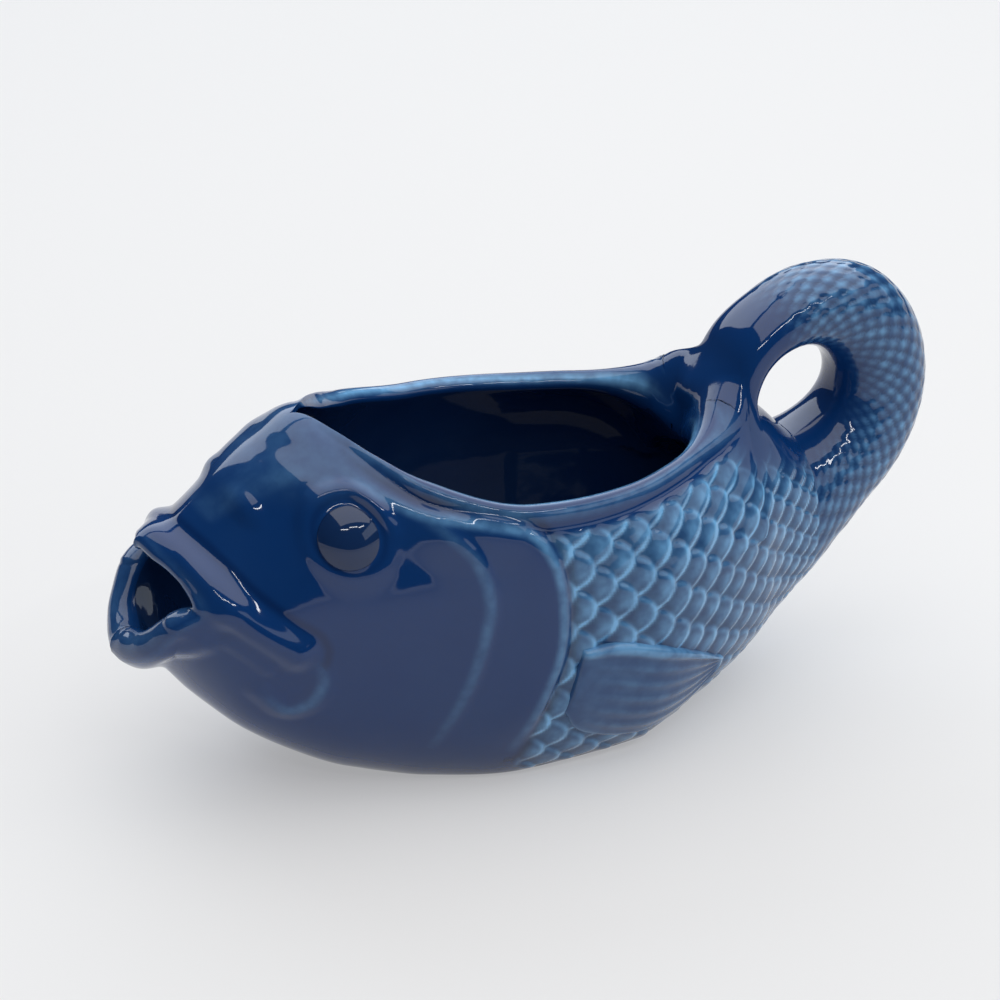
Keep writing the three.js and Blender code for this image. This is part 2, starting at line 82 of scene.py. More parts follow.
# Shares of the way from keel to rim over which the lips swell, roll and thin, and the opening's point thins
LOWER_LIP_SHARES = (0.68, 0.5)
LIP_CORNER_SHARES = (0.1, 0.4)
LIP_ROLL_SHARES = (0.4, 0.1)
UPPER_LIP_SHARES = (0.55, 0.85)
POINT_SHARES = (0.72, 0.97)
POINT_HALF_WIDTHS = (24.0, 3.0)

# Tail loop
HOLE_X = 77.0
HOLE_Z = 81.5
HOLE_RADIUS = 13.0
HOLE_STRETCH = 1.5
ROOT_DEPTH = 46.7
ROOT_HALF_WIDTH = 21.5
TAIL_ROUNDNESS = 2.2
TIP_ROUNDNESS = 3.0
TIP_ANGLE = 60.0
TAIL_START = -90.0
TAIL_END = 180.0
SEAT_DEPTH = 3.5

# Slip smoothed into the corner where the tip of the tail meets the back
JOINT_FILLET = 34.0
STRAP_FILLET_SHARE = 0.85
STRAP_FILLET_HEIGHTS = (86.0, 100.0)
HOLE_FILLET = 5.0
HOLE_FILLET_REACH = 14.0
FILLET_START_ANGLE = 105.0
JOINT_START_X = 15.0
JOINT_START_Z = 55.0
JOINT_OVERLAP = 3.2
JOINT_ROUNDS = 4
NEAREST_POINTS = 24

# How a skin sinks under the other past the seam: its share of the corner where that starts, and how steeply
HULL_DIP = (0.52, 20.0)
TAIL_DIP = (0.48, 2.0)

# Stations of the hull: x, keel, half width, widest height, back
HULL_LINES = np.array([
    (LIP_X, 41.7, 12.5, 55, 71.8),
    (-113, 37.6, 16.6, 57.6, 72.9),
    (-108, 34.8, 19.8, 60, 74.1),
    (-102, 28, 23.4, 62, 76.6),
    (-97, 23.3, 26, 59.5, 80.2),
    (-90, 16.9, 29, 54, 86.1),
    (-80, 9.6, 32.6, 50.5, 93.4),
    (FOREHEAD_X, 2.2, 37.5, 47.5, 100.3),
    (-61.5, 0, 39.3, 48, 98.2),
    (-55, -2.5, 41.4, 49, 94.2),
    (-45, -6, 44.5, 50, 88.3),
    (-20, -11, 50, 51, 81.3),
    (10, -9, 51, 51, 80.3),
    (35, -0.5, 43.5, 52, 81.3),
    (OPENING_BACK_X, 7.3, 34, 51, 80),
    (62.5, 12, 28, 50, 80),
    (HOLE_X, HOLE_Z - HOLE_RADIUS - ROOT_DEPTH, ROOT_HALF_WIDTH,
     HOLE_Z - HOLE_RADIUS - ROOT_DEPTH / 2, HOLE_Z - HOLE_RADIUS),
])
LIP_ROUNDNESS = 1.5
SNOUT_ROUNDNESS = 1.2
FACE_ROUNDNESS = 1.6
BELLY_ROUNDNESS = 2.7
SHOULDER_ROUNDNESS = 1.9
FOOT_SOFTNESS = 1.5
FOOT_CLEARANCE = 0.02
RIDGE_SOFTNESS = 2.5
RIDGE_STATIONS = (-86.0, -100.0)

# Tail round the finger hole: angle, thickness, half width
TAIL_LINES = np.array([
    (TAIL_START, ROOT_DEPTH, ROOT_HALF_WIDTH),
    (-75, 36.3, 19.5),
    (-55, 30.4, 17.5),
    (0, 28.6, 14),
    (45, 27.2, 13.5),
    (80, 21, 13),
    (110, 15, 12.8),
    (135, 12.6, 13.2),
    (155, 10.8, 13.8),
    (TAIL_END, 9, 14.2),
])

# Edge of the mouth from the lower lip's middle, past the corner, to the upper lip's middle: girth, x
MOUTH_EDGE = np.array([
    (0, LIP_X), (0.15, -116.2), (0.29, -113.7), (0.395, -109.6), (0.45, -106), (0.5, MOUTH_CORNER_X),
    (0.667, -103.5), (0.743, -105.4), (0.831, -108), (1, -110.6),
])

# Moulded crests of the head: a curve in the side view (x, z), its height, its spreads to the left and right,
# the shares of its length over which it grows in and fades out, and how its left spread widens along it
WHOLE = (-2.0, -1.0)
Crest = namedtuple("Crest", "curve rise left right grows fades widens", defaults=(WHOLE, WHOLE, 0.0))
HEAD_CRESTS = {
    "jaw": Crest([(-110, 74), (-104, 71), (-100, 67.5), (-95, 61.5), (-90, 56.3), (-85, 52), (-81, 49)],
                 2.8, 6.0, 7.0, grows=(-0.22, 0.42), widens=1.0),
    "brow": Crest([(-95, 80), (-91, 82.5), (-86, 85.2), (-79, 88.6), (-73, 90.4), (-67, 89.5)],
                  1.2, 6.0, 6.0, grows=(0.05, 0.5), fades=(1.0, 0.7)),
    "cheek_fold": Crest([(-90, 38), (-84, 32), (-78, 34), (-75, 40), (-76, 47)],
                        1.0, 4.5, 4.5, fades=(1.0, 0.6)),
    "chin_fold": Crest([(-97, 53), (-92, 49), (-88, 45)], 0.8, 3.5, 3.5),
    "lip_fold": Crest([(-114, 47), (-109, 48), (-105, 50), (-102, 52)], 1.5, 5.0, 5.0, grows=(0.0, 0.7)),
    "gill_cover": Crest([(-49, 82.5), (-41.7, 77), (-37, 71.5), (-34.7, 65), (-34.4, 57.8), (-36, 50),
                         (-40, 36), (-48, 16)], 1.1, 3.6, 12.0, grows=(0.0, 0.2), fades=(1.0, 0.8)),
    "gill_edge": Crest([(-68, 95.5), (-62.5, 91.6), (-58.5, 88.1), (-48.7, 82.9), (-40, 81.2), (-29.6, 79.1),
                        (-21.8, 76.1), (-17.5, 69.5), (-15.5, 60), (-16, 44), (-21, 29), (-27, 12)],
                       1.8, 3.0, 14.0, grows=(0.02, 0.34), fades=(1.0, 0.9)),
}

# Nostril and tip of the nose: place in the side view, height, spread
NOSE_KNOBS = [((-86.5, 82.5), 0.9, 5.0), ((-109.0, 73.0), 0.8, 7.0)]

# Socket of the eye
EYE = (-65.3, 77.6)
ORBIT_RISE = 2.0
ORBIT_RADIUS = 15.5
LID_RADIUS = 10.2
LID_RISE = 0.3
UPPER_LID_RISE = 1.3
LID_SPREAD = 3.0
UPPER_LID_SLANTS = (-0.2, 0.9)

# Eye pellets
EYE_RADIUS = 8.3
EYE_STAND = 0.8
EYE_DOME = 3.4
EYE_DOME_POWER = 2.4
EYE_ROOT_DEPTH = 3.0
EYE_ROOT_SHARE = 0.8

# Fins, as edges in the side view from root to tip
FIN_UPPER = [(-10, 43), (3, 42.5), (20, 35.5), (38, 24)]
FIN_LOWER = [(-14, 24), (-8, 15.5), (9, 9), (26, 11), (38, 21)]
FIN_THICKNESS = 1.0
FIN_EDGE_RISE = 1.5
FIN_ROOT_RISE = 0.9
FIN_RAYS = 6.5
FIN_RAY_RISE = 0.13
FIN_SEAT = 0.9
FIN_SINK = 0.05

# Scales: how many round one side, and their length and relief against their width
SCALES_PER_SIDE = 11
LOOP_SCALES_PER_SIDE = 8
SCALE_LENGTH_SHARE = 0.52
SCALE_RISE = 0.18
LOOP_SCALE_RISE = 0.55 * SCALE_RISE

# One scale in its own lengths and widths: reach of its free edge, how that curves back, slope and crown
SCALE_REACH = 0.82
SCALE_BOW = 2.6
SCALE_TUCK = 4.0
SCALE_SLOPE = 0.42
SCALE_EDGE_ROUNDING = 0.22
SCALE_CROWN = 1.3
SCALE_EDGE_STEP = (0.18, -0.12)

# Glaze on one scale: centre and spread of its edge's line and of the painted highlight on its swollen middle,
# lengthways and across, how much of the line painted shade leaves on the upper side, where that side begins,
# and the pool's reach behind it
SCALE_EDGE_LINE = (-0.1, 0.15)
SCALE_HIGHLIGHT_LENGTHWAYS = (-0.5, 0.4)
SCALE_HIGHLIGHT_ACROSS = (-0.05, 0.2)
SCALE_SHADED_UPPER_LINE = 0.25
SCALE_SHADED_UPPER_SIDE = (0.4, -0.1)
SCALE_POOL_REACH = 0.3

# Where the scales fade in: distances from rim, foot, finger hole, tip of the tail and gill, stations along
# the boat, and on the loop shares of the way round it, angles, and the share of its thickness for its rows
SCALES_FROM_RIM = (5.5, 8.0)
SCALES_FROM_FOOT = (1.0, 4.0)
SCALES_FROM_HOLE = (15.0, 23.0)
SCALES_FROM_TIP = (9.0, 19.0)
SCALES_FROM_GILL = (0.8, 4.5)
SCALES_FROM_X = (-26.0, -19.0)
LOOP_SCALE_SHARES = (0.85, 0.5)
LOOP_SCALE_ANGLES = (115.0, 82.0)
LOOP_SCALE_DEPTH = 0.6
TIP_SCALES_X = HOLE_X - HOLE_RADIUS - HOLE_STRETCH - 6.0

# Colours of the glaze: its body, where it runs thin on raised edges and where sheen and highlights are
# painted, and where it pools
BODY_BLUE = (0.001, 0.031, 0.147)
THIN_AND_SHEEN_BLUE = (0.2, 0.49, 0.83)
POOL_BLUE = (0.001, 0.014, 0.075)

# How far the glaze runs thin, from 0 to 1, with painted sheen and highlights among these: on the crests of
# the head, on lip and rim, on scales and on fins
CREST_REACH = 2.4
CHEEK_THIN = 0.2
GILL_COVER_THIN = 0.2
GILL_EDGE_THIN = 0.45
BROW_THIN = 0.08
LIP_THIN = 0.05
LIP_EDGE_THIN = 0.1
# Painted sheen on the top of the head
FOREHEAD_SHEEN = 0.1
RIM_THIN = 0.22
# Pale line along the rim's round edge: thin glaze and a painted highlight
RIM_EDGE_THIN_AND_HIGHLIGHT = 0.75
RIM_EDGE_SPREAD = 0.14
# Painted sheen on the scales high on the sides
HIGH_SCALE_SHEEN = 0.07
FIN_THIN = 0.1
FIN_EDGE_THIN = 0.45
FIN_FOOT_THIN = 0.2
FIN_TIP_THIN = 0.4
FIN_RAY_THIN = 0.8

# Where the glaze runs thin or pools and where sheen is painted: reaches, distances from a crest's line,
# heights and stations
LIP_THIN_REACH = 2.5
RIM_THIN_REACH = 4.0
GILL_EDGE_LINE = (-0.3, 2.2)
FOREHEAD_SHEEN_HEIGHTS = (82.0, 95.0)
FOREHEAD_SHEEN_STATIONS = (-45.0, -60.0)
HIGH_SCALE_SHEEN_HEIGHTS = (52.0, 74.0)
GILL_POOL_LINE = 3.2
JAW_POOL_LINE = (6.5, 2.0)
EYE_POOL_REACH = 1.2

# How far the glaze pools, from 0 to 1
GILL_POOL = 0.8
JAW_POOL = 0.6
EYE_POOL = 0.4

# Glaze on the scales: thin on their edges, a painted highlight on their middles, thin all over, and pooled
# behind them
HULL_SCALE_GLAZE_AND_HIGHLIGHT = (0.95, 0.36, 0.12, 0.9)
LOOP_SCALE_GLAZE_AND_HIGHLIGHT = (0.2, 0.5, 0.07, 0.8)

# Fineness of the glazed skin
HEAD_ROWS = 84
OPENING_ROWS = 228
STERN_ROWS = 36
TAIL_ROWS = 190
TIP_ROWS = 24
GIRTH_COLUMNS = 204
TAIL_COLUMN_STEP = 2
EDGE_ROWS = 8
INNER_ROW_STEP = 2
INNER_COLUMN_STEP = 3
FIN_ROWS = 90
FIN_COLUMNS = 60
EYE_SIDES = 64
EYE_RINGS = 28
CREST_POINTS = 48
RING_POINTS = 2000
TABLE_STATIONS = 400
TABLE_GIRTHS = 500
TABLE_SHARES = 200
MOUTH_ROUNDS = 12

# The photograph's camera
CAMERA_AZIMUTH = -24.3
CAMERA_ELEVATION = 26.38
CAMERA_DISTANCE = 674.92
CAMERA_TARGET = (-10.43, 0.0, 63.15)
CAMERA_LENS = 89.96
CAMERA_SENSOR = 36.0

# Table top in metres: its half size, and how its plain pale share grows with the distance from the boat
FLOOR_HALF = 300.0
NEAR_FLOOR = 1.0
FAR_FLOOR = 3.0
NEAR_PALE_SHARE = 0.42


def smooth_line(xs, ys):
    """Smooth curve through points, with slopes limited so that it never overshoots them."""
    xs, ys = np.asarray(xs, float), np.asarray(ys, float)
    step = np.diff(xs)
    slope = np.diff(ys) / step
    before = 2 * step[1:] + step[:-1]
    after = step[1:] + 2 * step[:-1]
    same_way = slope[:-1] * slope[1:] > 0
    first = np.where(same_way, slope[:-1], 1.0)
    second = np.where(same_way, slope[1:], 1.0)
    inner = np.where(same_way, (before + after) / (before / first + after / second), 0.0)
    tangent = np.concatenate([slope[:1], inner, slope[-1:]])

    def line(x):
        i = np.clip(np.searchsorted(xs, x) - 1, 0, len(step) - 1)
        t = np.clip((x - xs[i]) / step[i], 0, 1)
        rise = t * t * (3 - 2 * t)
        leave = t * (1 - t) ** 2 * step[i] * tangent[i]
        arrive = t * t * (t - 1) * step[i] * tangent[i + 1]
        return ys[i] + (ys[i + 1] - ys[i]) * rise + leave + arrive

    return line


def smooth_step(low, high, value):
    """Soft step from 0 at the first value to 1 at the second, in either order."""
    t = np.clip((value - low) / (high - low), 0, 1)
    return t * t * (3 - 2 * t)


keel_line, half_width_line, widest_line, back_line = [
    smooth_line(HULL_LINES[:, 0], HULL_LINES[:, k]) for k in (1, 2, 3, 4)]
mouth_line = smooth_line(MOUTH_EDGE[:, 0], MOUTH_EDGE[:, 1])
belly_roundness = smooth_line([-107, -92, OPENING_BACK_X, HOLE_X],
                              [LIP_ROUNDNESS, BELLY_ROUNDNESS, BELLY_ROUNDNESS, TAIL_ROUNDNESS])
shoulder_roundness = smooth_line(
    [-104, -90, FOREHEAD_X, OPENING_BACK_X, HOLE_X],
    [SNOUT_ROUNDNESS, FACE_ROUNDNESS, SHOULDER_ROUNDNESS, SHOULDER_ROUNDNESS, TAIL_ROUNDNESS])
tail_thickness = smooth_line(TAIL_LINES[:, 0], TAIL_LINES[:, 1])
tail_half_width = smooth_line(TAIL_LINES[:, 0], TAIL_LINES[:, 2])
tail_roundness = smooth_line([TAIL_START, TIP_ANGLE, TAIL_END],
                             [TAIL_ROUNDNESS, TAIL_ROUNDNESS, TIP_ROUNDNESS])
scales_round = smooth_line([TAIL_START, TIP_ANGLE, TAIL_END],
                           [SCALES_PER_SIDE, LOOP_SCALES_PER_SIDE, LOOP_SCALES_PER_SIDE])


def rim_half_width(x):
    """Half width of the opening: a point on the forehead and a blunt back."""
    t = np.clip((x - OPENING_FRONT_X) / (OPENING_BACK_X - OPENING_FRONT_X), 0, 1)
    power = RIM_FRONT_POWER + (RIM_BACK_POWER - RIM_FRONT_POWER) * t
    point = 1 - np.exp(-np.clip(x - OPENING_FRONT_X, 0, None) / OPENING_POINT)
    return RIM_HALF_WIDTH * np.clip(np.sin(np.pi * t ** RIM_SKEW), 0, 1) ** power * point * (t < 1)


def soft_rim_half_width(x):
    """Half width of the opening, eased in at its blunt back so that the hull's skin has no crease there."""
    rim = rim_half_width(x)
    return rim * np.where(x > 0, smooth_step(0, RIM_SOFT_START, rim), 1.0)


def crown_share(y, wide, roundness, ridge):
    """Height of a rounded section at a half width, as a share of its full height, with a softened ridge."""
    share = (y * y + ridge * ridge) / (wide * wide + ridge * ridge)
    return np.clip(1 - share ** (roundness / 2), 0, 1) ** (1 / roundness)


def section(x, girth):
    """Half width and height of the plain hull: girth 0 is the keel, 0.5 the widest point, 1 rim or back."""
    wide, mid = half_width_line(x), widest_line(x)
    belly, shoulder = belly_roundness(x), shoulder_roundness(x)
    ridge = RIDGE_SOFTNESS * smooth_step(*RIDGE_STATIONS, x)
    y_low = wide * np.sin(np.minimum(girth, 0.5) * np.pi) ** (2 / belly)
    z_low = mid - (mid - keel_line(x)) * crown_share(y_low, wide, belly, ridge)
    end = np.arccos(np.clip((rim_half_width(x) / wide) ** (shoulder / 2), 0, 1))
    high = (2 * np.maximum(girth, 0.5) - 1) * end
    y_high = wide * np.clip(np.cos(high), 0, 1) ** (2 / shoulder)
    at_rim = crown_share(soft_rim_half_width(x), wide, shoulder, 0)
    z_high = mid + (back_line(x) - mid) * crown_share(y_high, wide, shoulder, ridge) / at_rim
    y = np.where(girth <= 0.5, y_low, y_high)
    z = np.where(girth <= 0.5, z_low, z_high)
    return y, (z + np.sqrt(z * z + FOOT_SOFTNESS ** 2)) / 2


def even_girth_table():
    """Girth values that are evenly spaced along the skin, for stations from the lip to the tail."""
    stations = np.linspace(LIP_X - 2, HOLE_X, TABLE_STATIONS)
    girth = np.linspace(0, 1, TABLE_GIRTHS)
    y, z = section(stations[:, None], girth[None, :])
    run = np.hypot(np.diff(y, axis=1), np.diff(z, axis=1)).cumsum(axis=1)
    run = np.concatenate([np.zeros((len(stations), 1)), run], axis=1)
    shares = np.linspace(0, 1, TABLE_SHARES)
    table = np.array([np.interp(shares, row / row[-1], girth) for row in run])
    return stations, shares, table, run[:, -1]


STATIONS, SHARES, GIRTH_TABLE, SIDE_LENGTHS = even_girth_table()


def even_side_lengths(x):
    """Length of the skin from keel to rim, run on smoothly past the back of the opening, for the scales."""
    stops = np.array([-100.0, -45, -20, 10, 35, HOLE_X])
    return smooth_line(stops, np.interp(stops, STATIONS, SIDE_LENGTHS))(x)


def girth_at(x, share):
    """Girth at a share of the way round the skin from keel to rim."""
    i = np.clip((x - STATIONS[0]) / (STATIONS[1] - STATIONS[0]), 0, len(STATIONS) - 1.001)
    j = np.clip(share / (SHARES[1] - SHARES[0]), 0, len(SHARES) - 1.001)
    i0, j0 = i.astype(int), j.astype(int)
    u, v = i - i0, j - j0
    near = GIRTH_TABLE[i0, j0] * (1 - v) + GIRTH_TABLE[i0, j0 + 1] * v
    far = GIRTH_TABLE[i0 + 1, j0] * (1 - v) + GIRTH_TABLE[i0 + 1, j0 + 1] * v
    return np.where(share >= 1, 1.0, near * (1 - u) + far * u)


def mouth_edge(share):
    """Edge of the mouth round the skin: forward at the lower lip and the nose, set back at the corners."""
    edge = np.full(share.shape, MOUTH_CORNER_X)
    for _ in range(MOUTH_ROUNDS):
        edge = mouth_line(girth_at(edge, share))
    return edge


def side_half_width(x, z):
    """Half width of the plain hull at a place in the side view."""
    wide, mid = half_width_line(x), widest_line(x)
    below = np.clip((mid - z) / (mid - keel_line(x)), 0, 1)
    y_low = wide * (1 - below ** belly_roundness(x)) ** (1 / belly_roundness(x))
    roundness = shoulder_roundness(x)
    rim_share = (soft_rim_half_width(x) / wide) ** roundness
    above = np.clip((z - mid) / (back_line(x) - mid), 0, 1) ** roundness * (1 - rim_share)
    return np.where(z < mid, y_low, wide * (1 - above) ** (1 / roundness))


def side_normal(x, z):
    """Direction out of the plain hull at a place in the side view."""
    probe = 0.05
    lean_x = (side_half_width(x + probe, z) - side_half_width(x - probe, z)) / (2 * probe)
    lean_z = (side_half_width(x, z + probe) - side_half_width(x, z - probe)) / (2 * probe)
    normal = np.stack([-lean_x, np.ones_like(lean_x), -lean_z], -1)
    return normal / np.linalg.norm(normal, axis=-1, keepdims=True)


def back_height(x, y):
    """Height of the plain back at a place in the top view."""
    roundness = shoulder_roundness(x)
    rim_share = (soft_rim_half_width(x) / half_width_line(x)) ** roundness
    share = np.clip(np.abs(y) / half_width_line(x), 0, 1) ** roundness
    lift = np.clip((1 - share) / (1 - rim_share), 0, 1) ** (1 / roundness)
    return widest_line(x) + (back_line(x) - widest_line(x)) * lift


def spline(points, count):
    """Smooth run of points through a few chosen ones."""
    p = np.array(points, float)
    p = np.concatenate([2 * p[:1] - p[1:2], p, 2 * p[-1:] - p[-2:-1]])
    t = np.linspace(0, len(points) - 1, count)
    k = np.minimum(t.astype(int), len(points) - 2)
    u = (t - k)[:, None]
    a, b, c, d = p[k], p[k + 1], p[k + 2], p[k + 3]
    square, cube = 2 * a - 5 * b + 4 * c - d, 3 * b - a - 3 * c + d
    return 0.5 * (2 * b + (c - a) * u + square * u ** 2 + cube * u ** 3)


def crest_distance(x, z, crest):
    """Distance from a curve in the side view, positive on its left, and the share of the way along it."""
    points = spline(crest, CREST_POINTS)
    best = np.full(x.shape, np.inf)
    signed = np.zeros(x.shape)
    along = np.zeros(x.shape)
    for k in range(len(points) - 1):
        run = points[k + 1] - points[k]
        t = np.clip(((x - points[k, 0]) * run[0] + (z - points[k, 1]) * run[1]) / (run @ run), 0, 1)
        dx, dz = x - points[k, 0] - t * run[0], z - points[k, 1] - t * run[1]
        far = np.hypot(dx, dz)
        nearer = far < best
        best = np.where(nearer, far, best)
        signed = np.where(nearer, np.sign(run[0] * dz - run[1] * dx) * far, signed)
        along = np.where(nearer, (k + t) / (len(points) - 1), along)
    return signed, along


def swelling(distance, half_width):
    """Rounded swelling: 1 at no distance, down to 0 at the half width."""
    return 0.5 + 0.5 * np.cos(np.pi * np.clip(np.abs(distance) / half_width, 0, 1))


def bell(value, centre, spread):
    """Bell-shaped hump: 1 at its centre."""
    return np.exp(-((value - centre) / spread) ** 2)


def crest_relief(x, z, crest):
    """Height of a crest, distance from its curve, share of the way along it, and how far it is grown in."""
    distance, along = crest_distance(x, z, crest.curve)
    grown = smooth_step(*crest.grows, along)
    spread = np.where(distance > 0, crest.left + crest.widens * along, crest.right)
    height = crest.rise * swelling(distance, spread) * (grown * smooth_step(*crest.fades, along))
    return height, distance, along, grown


def head_relief(x, z, from_lip, share):
    """Height of the moulded features of lips, head and gills, how far they thin the glaze, the painted sheen
    on the top of the head, where the glaze pools beside them, and where scales begin."""
    lower_lip = smooth_step(*LOWER_LIP_SHARES, share + 0 * x)
    swell = LIP_SWELL + LIP_CORNER_SWELL * smooth_step(*LIP_CORNER_SHARES, share)
    height = swell * lower_lip * swelling(from_lip, LIP_SWELL_REACH)
    crests = {name: crest_relief(x, z, crest) for name, crest in HEAD_CRESTS.items()}
    for crest_height, *_ in crests.values():
        height += crest_height
    from_eye = np.hypot(x - EYE[0], z - EYE[1])
    upper = (z - EYE[1]) / np.maximum(from_eye, 1e-3)
    lid_rise = LID_RISE + UPPER_LID_RISE * smooth_step(*UPPER_LID_SLANTS, upper)
    height += ORBIT_RISE * swelling(from_eye, ORBIT_RADIUS)
    height += lid_rise * swelling(from_eye - LID_RADIUS, LID_SPREAD)
    for (knob_x, knob_z), rise, spread in NOSE_KNOBS:
        height += rise * swelling(np.hypot(x - knob_x, z - knob_z), spread)

    _, jaw, jaw_along, _ = crests["jaw"]
    _, brow, _, _ = crests["brow"]
    _, cheek, cheek_along, _ = crests["cheek_fold"]
    _, cover, cover_along, _ = crests["gill_cover"]
    _, edge, edge_along, grown = crests["gill_edge"]
    thin_and_sheen = CHEEK_THIN * swelling(cheek, CREST_REACH) * np.sin(np.pi * cheek_along)
    thin_and_sheen += GILL_COVER_THIN * swelling(cover, CREST_REACH) * np.sqrt(np.sin(np.pi * cover_along))
    line, reach = GILL_EDGE_LINE
    thin_and_sheen += GILL_EDGE_THIN * swelling(edge - line, reach) * grown * np.sqrt(np.sin(np.pi * edge_along))
    thin_and_sheen += BROW_THIN * swelling(brow, CREST_REACH) + LIP_THIN * swelling(from_lip, LIP_THIN_REACH)
    # Painted sheen: the top of the head is made paler
    forehead = smooth_step(*FOREHEAD_SHEEN_HEIGHTS, z) * smooth_step(*FOREHEAD_SHEEN_STATIONS, x)
    thin_and_sheen += FOREHEAD_SHEEN * forehead
    pool = GILL_POOL * grown * swelling(edge - GILL_POOL_LINE, CREST_REACH)
    line, reach = JAW_POOL_LINE
    pool += JAW_POOL * swelling(jaw - line - jaw_along, reach)
    pool += EYE_POOL * swelling(from_eye - EYE_RADIUS, EYE_POOL_REACH)
    behind_gill = smooth_step(*SCALES_FROM_GILL, edge) * smooth_step(*SCALES_FROM_X, x)
    return height, thin_and_sheen, pool, behind_gill


def scale_pattern(along, across, glaze):
    """Overlapping scales, free edges to the tail: their height, where their glaze is thin, where highlights
    are painted on their middles and painted shade dims the upper side of their edge lines, and where the
    glaze pools.
    """
    height, edges, highlights, pools = (np.zeros(along.shape) for _ in range(4))
    on_edges, on_highlights, all_over, behind_scales = glaze
    first = np.floor(along)
    for back in (2, 1, 0, -1):
        row = first + back
        offset = np.where(np.mod(row, 2) == 0, 0.0, 0.5)
        place = np.mod(across + offset, 1.0) - 0.5
        arc = SCALE_REACH - SCALE_BOW * place ** 2 - SCALE_TUCK * place ** 4
        lean = 2 * SCALE_BOW * place + 4 * SCALE_TUCK * place ** 3
        behind = (along - (row + arc)) / np.sqrt(1 + (SCALE_LENGTH_SHARE * lean) ** 2)
        inside = smooth_step(*SCALE_EDGE_STEP, behind)
        rounding = np.exp(np.minimum(behind, 0) / SCALE_EDGE_ROUNDING)
        rise = 1 + SCALE_SLOPE * (np.clip(behind, -2.0, 0) - rounding) - SCALE_CROWN * place ** 2
        height = height * (1 - inside) + rise * inside
        # Painted shade: the edge line is dimmed on the scale's upper side
        lower = SCALE_SHADED_UPPER_LINE + (1 - SCALE_SHADED_UPPER_LINE) * smooth_step(*SCALE_SHADED_UPPER_SIDE, place)
        edge = lower * bell(behind, *SCALE_EDGE_LINE)
        edges = edges * (1 - inside) + edge * inside
        # Painted highlight on the scale's swollen middle
        highlight = bell(behind, *SCALE_HIGHLIGHT_LENGTHWAYS) * bell(place, *SCALE_HIGHLIGHT_ACROSS)
        highlights = highlights * (1 - inside) + highlight * inside
        pools = (pools + np.exp(-np.clip(behind, 0, 9) / SCALE_POOL_REACH)) * (1 - inside)
    return height, on_edges * edges + on_highlights * highlights + all_over, behind_scales * pools


def hull_net():
    """Plain outer skin of the hull: rows of points along the boat, columns from rim to rim under the keel."""
    across = np.linspace(-1, 1, 2 * GIRTH_COLUMNS + 1)
    share = np.abs(across)
    head = np.arange(HEAD_ROWS)[:, None] / HEAD_ROWS
    even = np.arange(OPENING_ROWS) / OPENING_ROWS
    crowded = 0.5 - 0.5 * np.cos(np.pi * even)
    bowl = OPENING_FRONT_X + (OPENING_BACK_X - OPENING_FRONT_X) * (even + crowded) / 2
    stern = np.linspace(OPENING_BACK_X, HOLE_X, STERN_ROWS + 1)
    edge = mouth_edge(share)[None, :]
    x_head = edge + (OPENING_FRONT_X - edge) * head
    x_rest = np.concatenate([bowl, stern])[:, None] + 0 * share[None, :]
    x = np.concatenate([x_head, x_rest])
    girth = girth_at(x, share[None, :] + 0 * x)
    y, z = section(x, girth)
    from_lip = np.full(x.shape, 1e3)
    from_lip[:HEAD_ROWS] = x_head - x_head[:1]
    return np.stack([x, np.sign(across) * y, z], -1), across, from_lip


def tail_ring_shape(roundness):
    """One side of a ring of the tail, from the outer side of the loop to its inner side."""
    turn = np.linspace(0, np.pi, RING_POINTS)
    power = 2 / roundness
    reach = np.sign(np.cos(turn)) * np.abs(np.cos(turn)) ** power
    side = np.abs(np.sin(turn)) ** power
    return reach, side


def tail_net(across):
    """Plain skin of the tail: rings round the finger hole, then the tip that comes down on the back."""
    rows = []
    lengths = []
    loop = np.linspace(TAIL_START, TAIL_END, TAIL_ROWS + 1)[1:]
    angles = np.concatenate([loop, np.full(TIP_ROWS, TAIL_END)])
    drops = np.concatenate([np.zeros(TAIL_ROWS), np.arange(1, TIP_ROWS + 1) / TIP_ROWS])
    for angle, drop in zip(angles, drops):
        reach, side = tail_ring_shape(tail_roundness(angle))
        half = tail_thickness(angle) / 2
        wide = tail_half_width(angle)
        run = np.concatenate([[0], np.hypot(np.diff(half * reach), np.diff(wide * side)).cumsum()])
        r = np.interp(np.abs(across) * run[-1], run, reach)
        y = wide * np.interp(np.abs(across) * run[-1], run, side)
        radius = HOLE_RADIUS + half + half * r
        x = HOLE_X + (radius + HOLE_STRETCH) * math.cos(math.radians(angle))
        z = HOLE_Z + radius * math.sin(math.radians(angle))
        z = z + (back_height(x, y) - SEAT_DEPTH - z) * drop
        rows.append(np.stack([x, np.sign(across) * y, z], -1))
        lengths.append(run[-1])
    return np.array(rows), angles, np.array(lengths)


def net_normals(points, closed):
    """Outward directions of a net of points; closed rows start and end on the plane of symmetry."""
    along = np.gradient(points, axis=0)
    up = np.gradient(points, axis=1)
    normal = np.cross(up, along)
    normal[closed, 0, 1] = 0
    normal[closed, -1, 1] = 0
    return normal / np.maximum(np.linalg.norm(normal, axis=-1, keepdims=True), 1e-9)


def scale_rows(x_rows, side_lengths, tail_angles, tail_lengths):
    """Running count of scale rows along the hull and on round the tail."""
    pitch = SCALE_LENGTH_SHARE * side_lengths / SCALES_PER_SIDE
    hull = np.concatenate([[0], (np.diff(x_rows) / (0.5 * (pitch[1:] + pitch[:-1]))).cumsum()])
    radius = HOLE_RADIUS + LOOP_SCALE_DEPTH * tail_thickness(tail_angles)
    turn = np.radians(np.diff(np.concatenate([[TAIL_START], tail_angles])))
    tail_pitch = SCALE_LENGTH_SHARE * tail_lengths / scales_round(tail_angles)
    return hull, hull[-1] + (radius * turn / tail_pitch).cumsum()


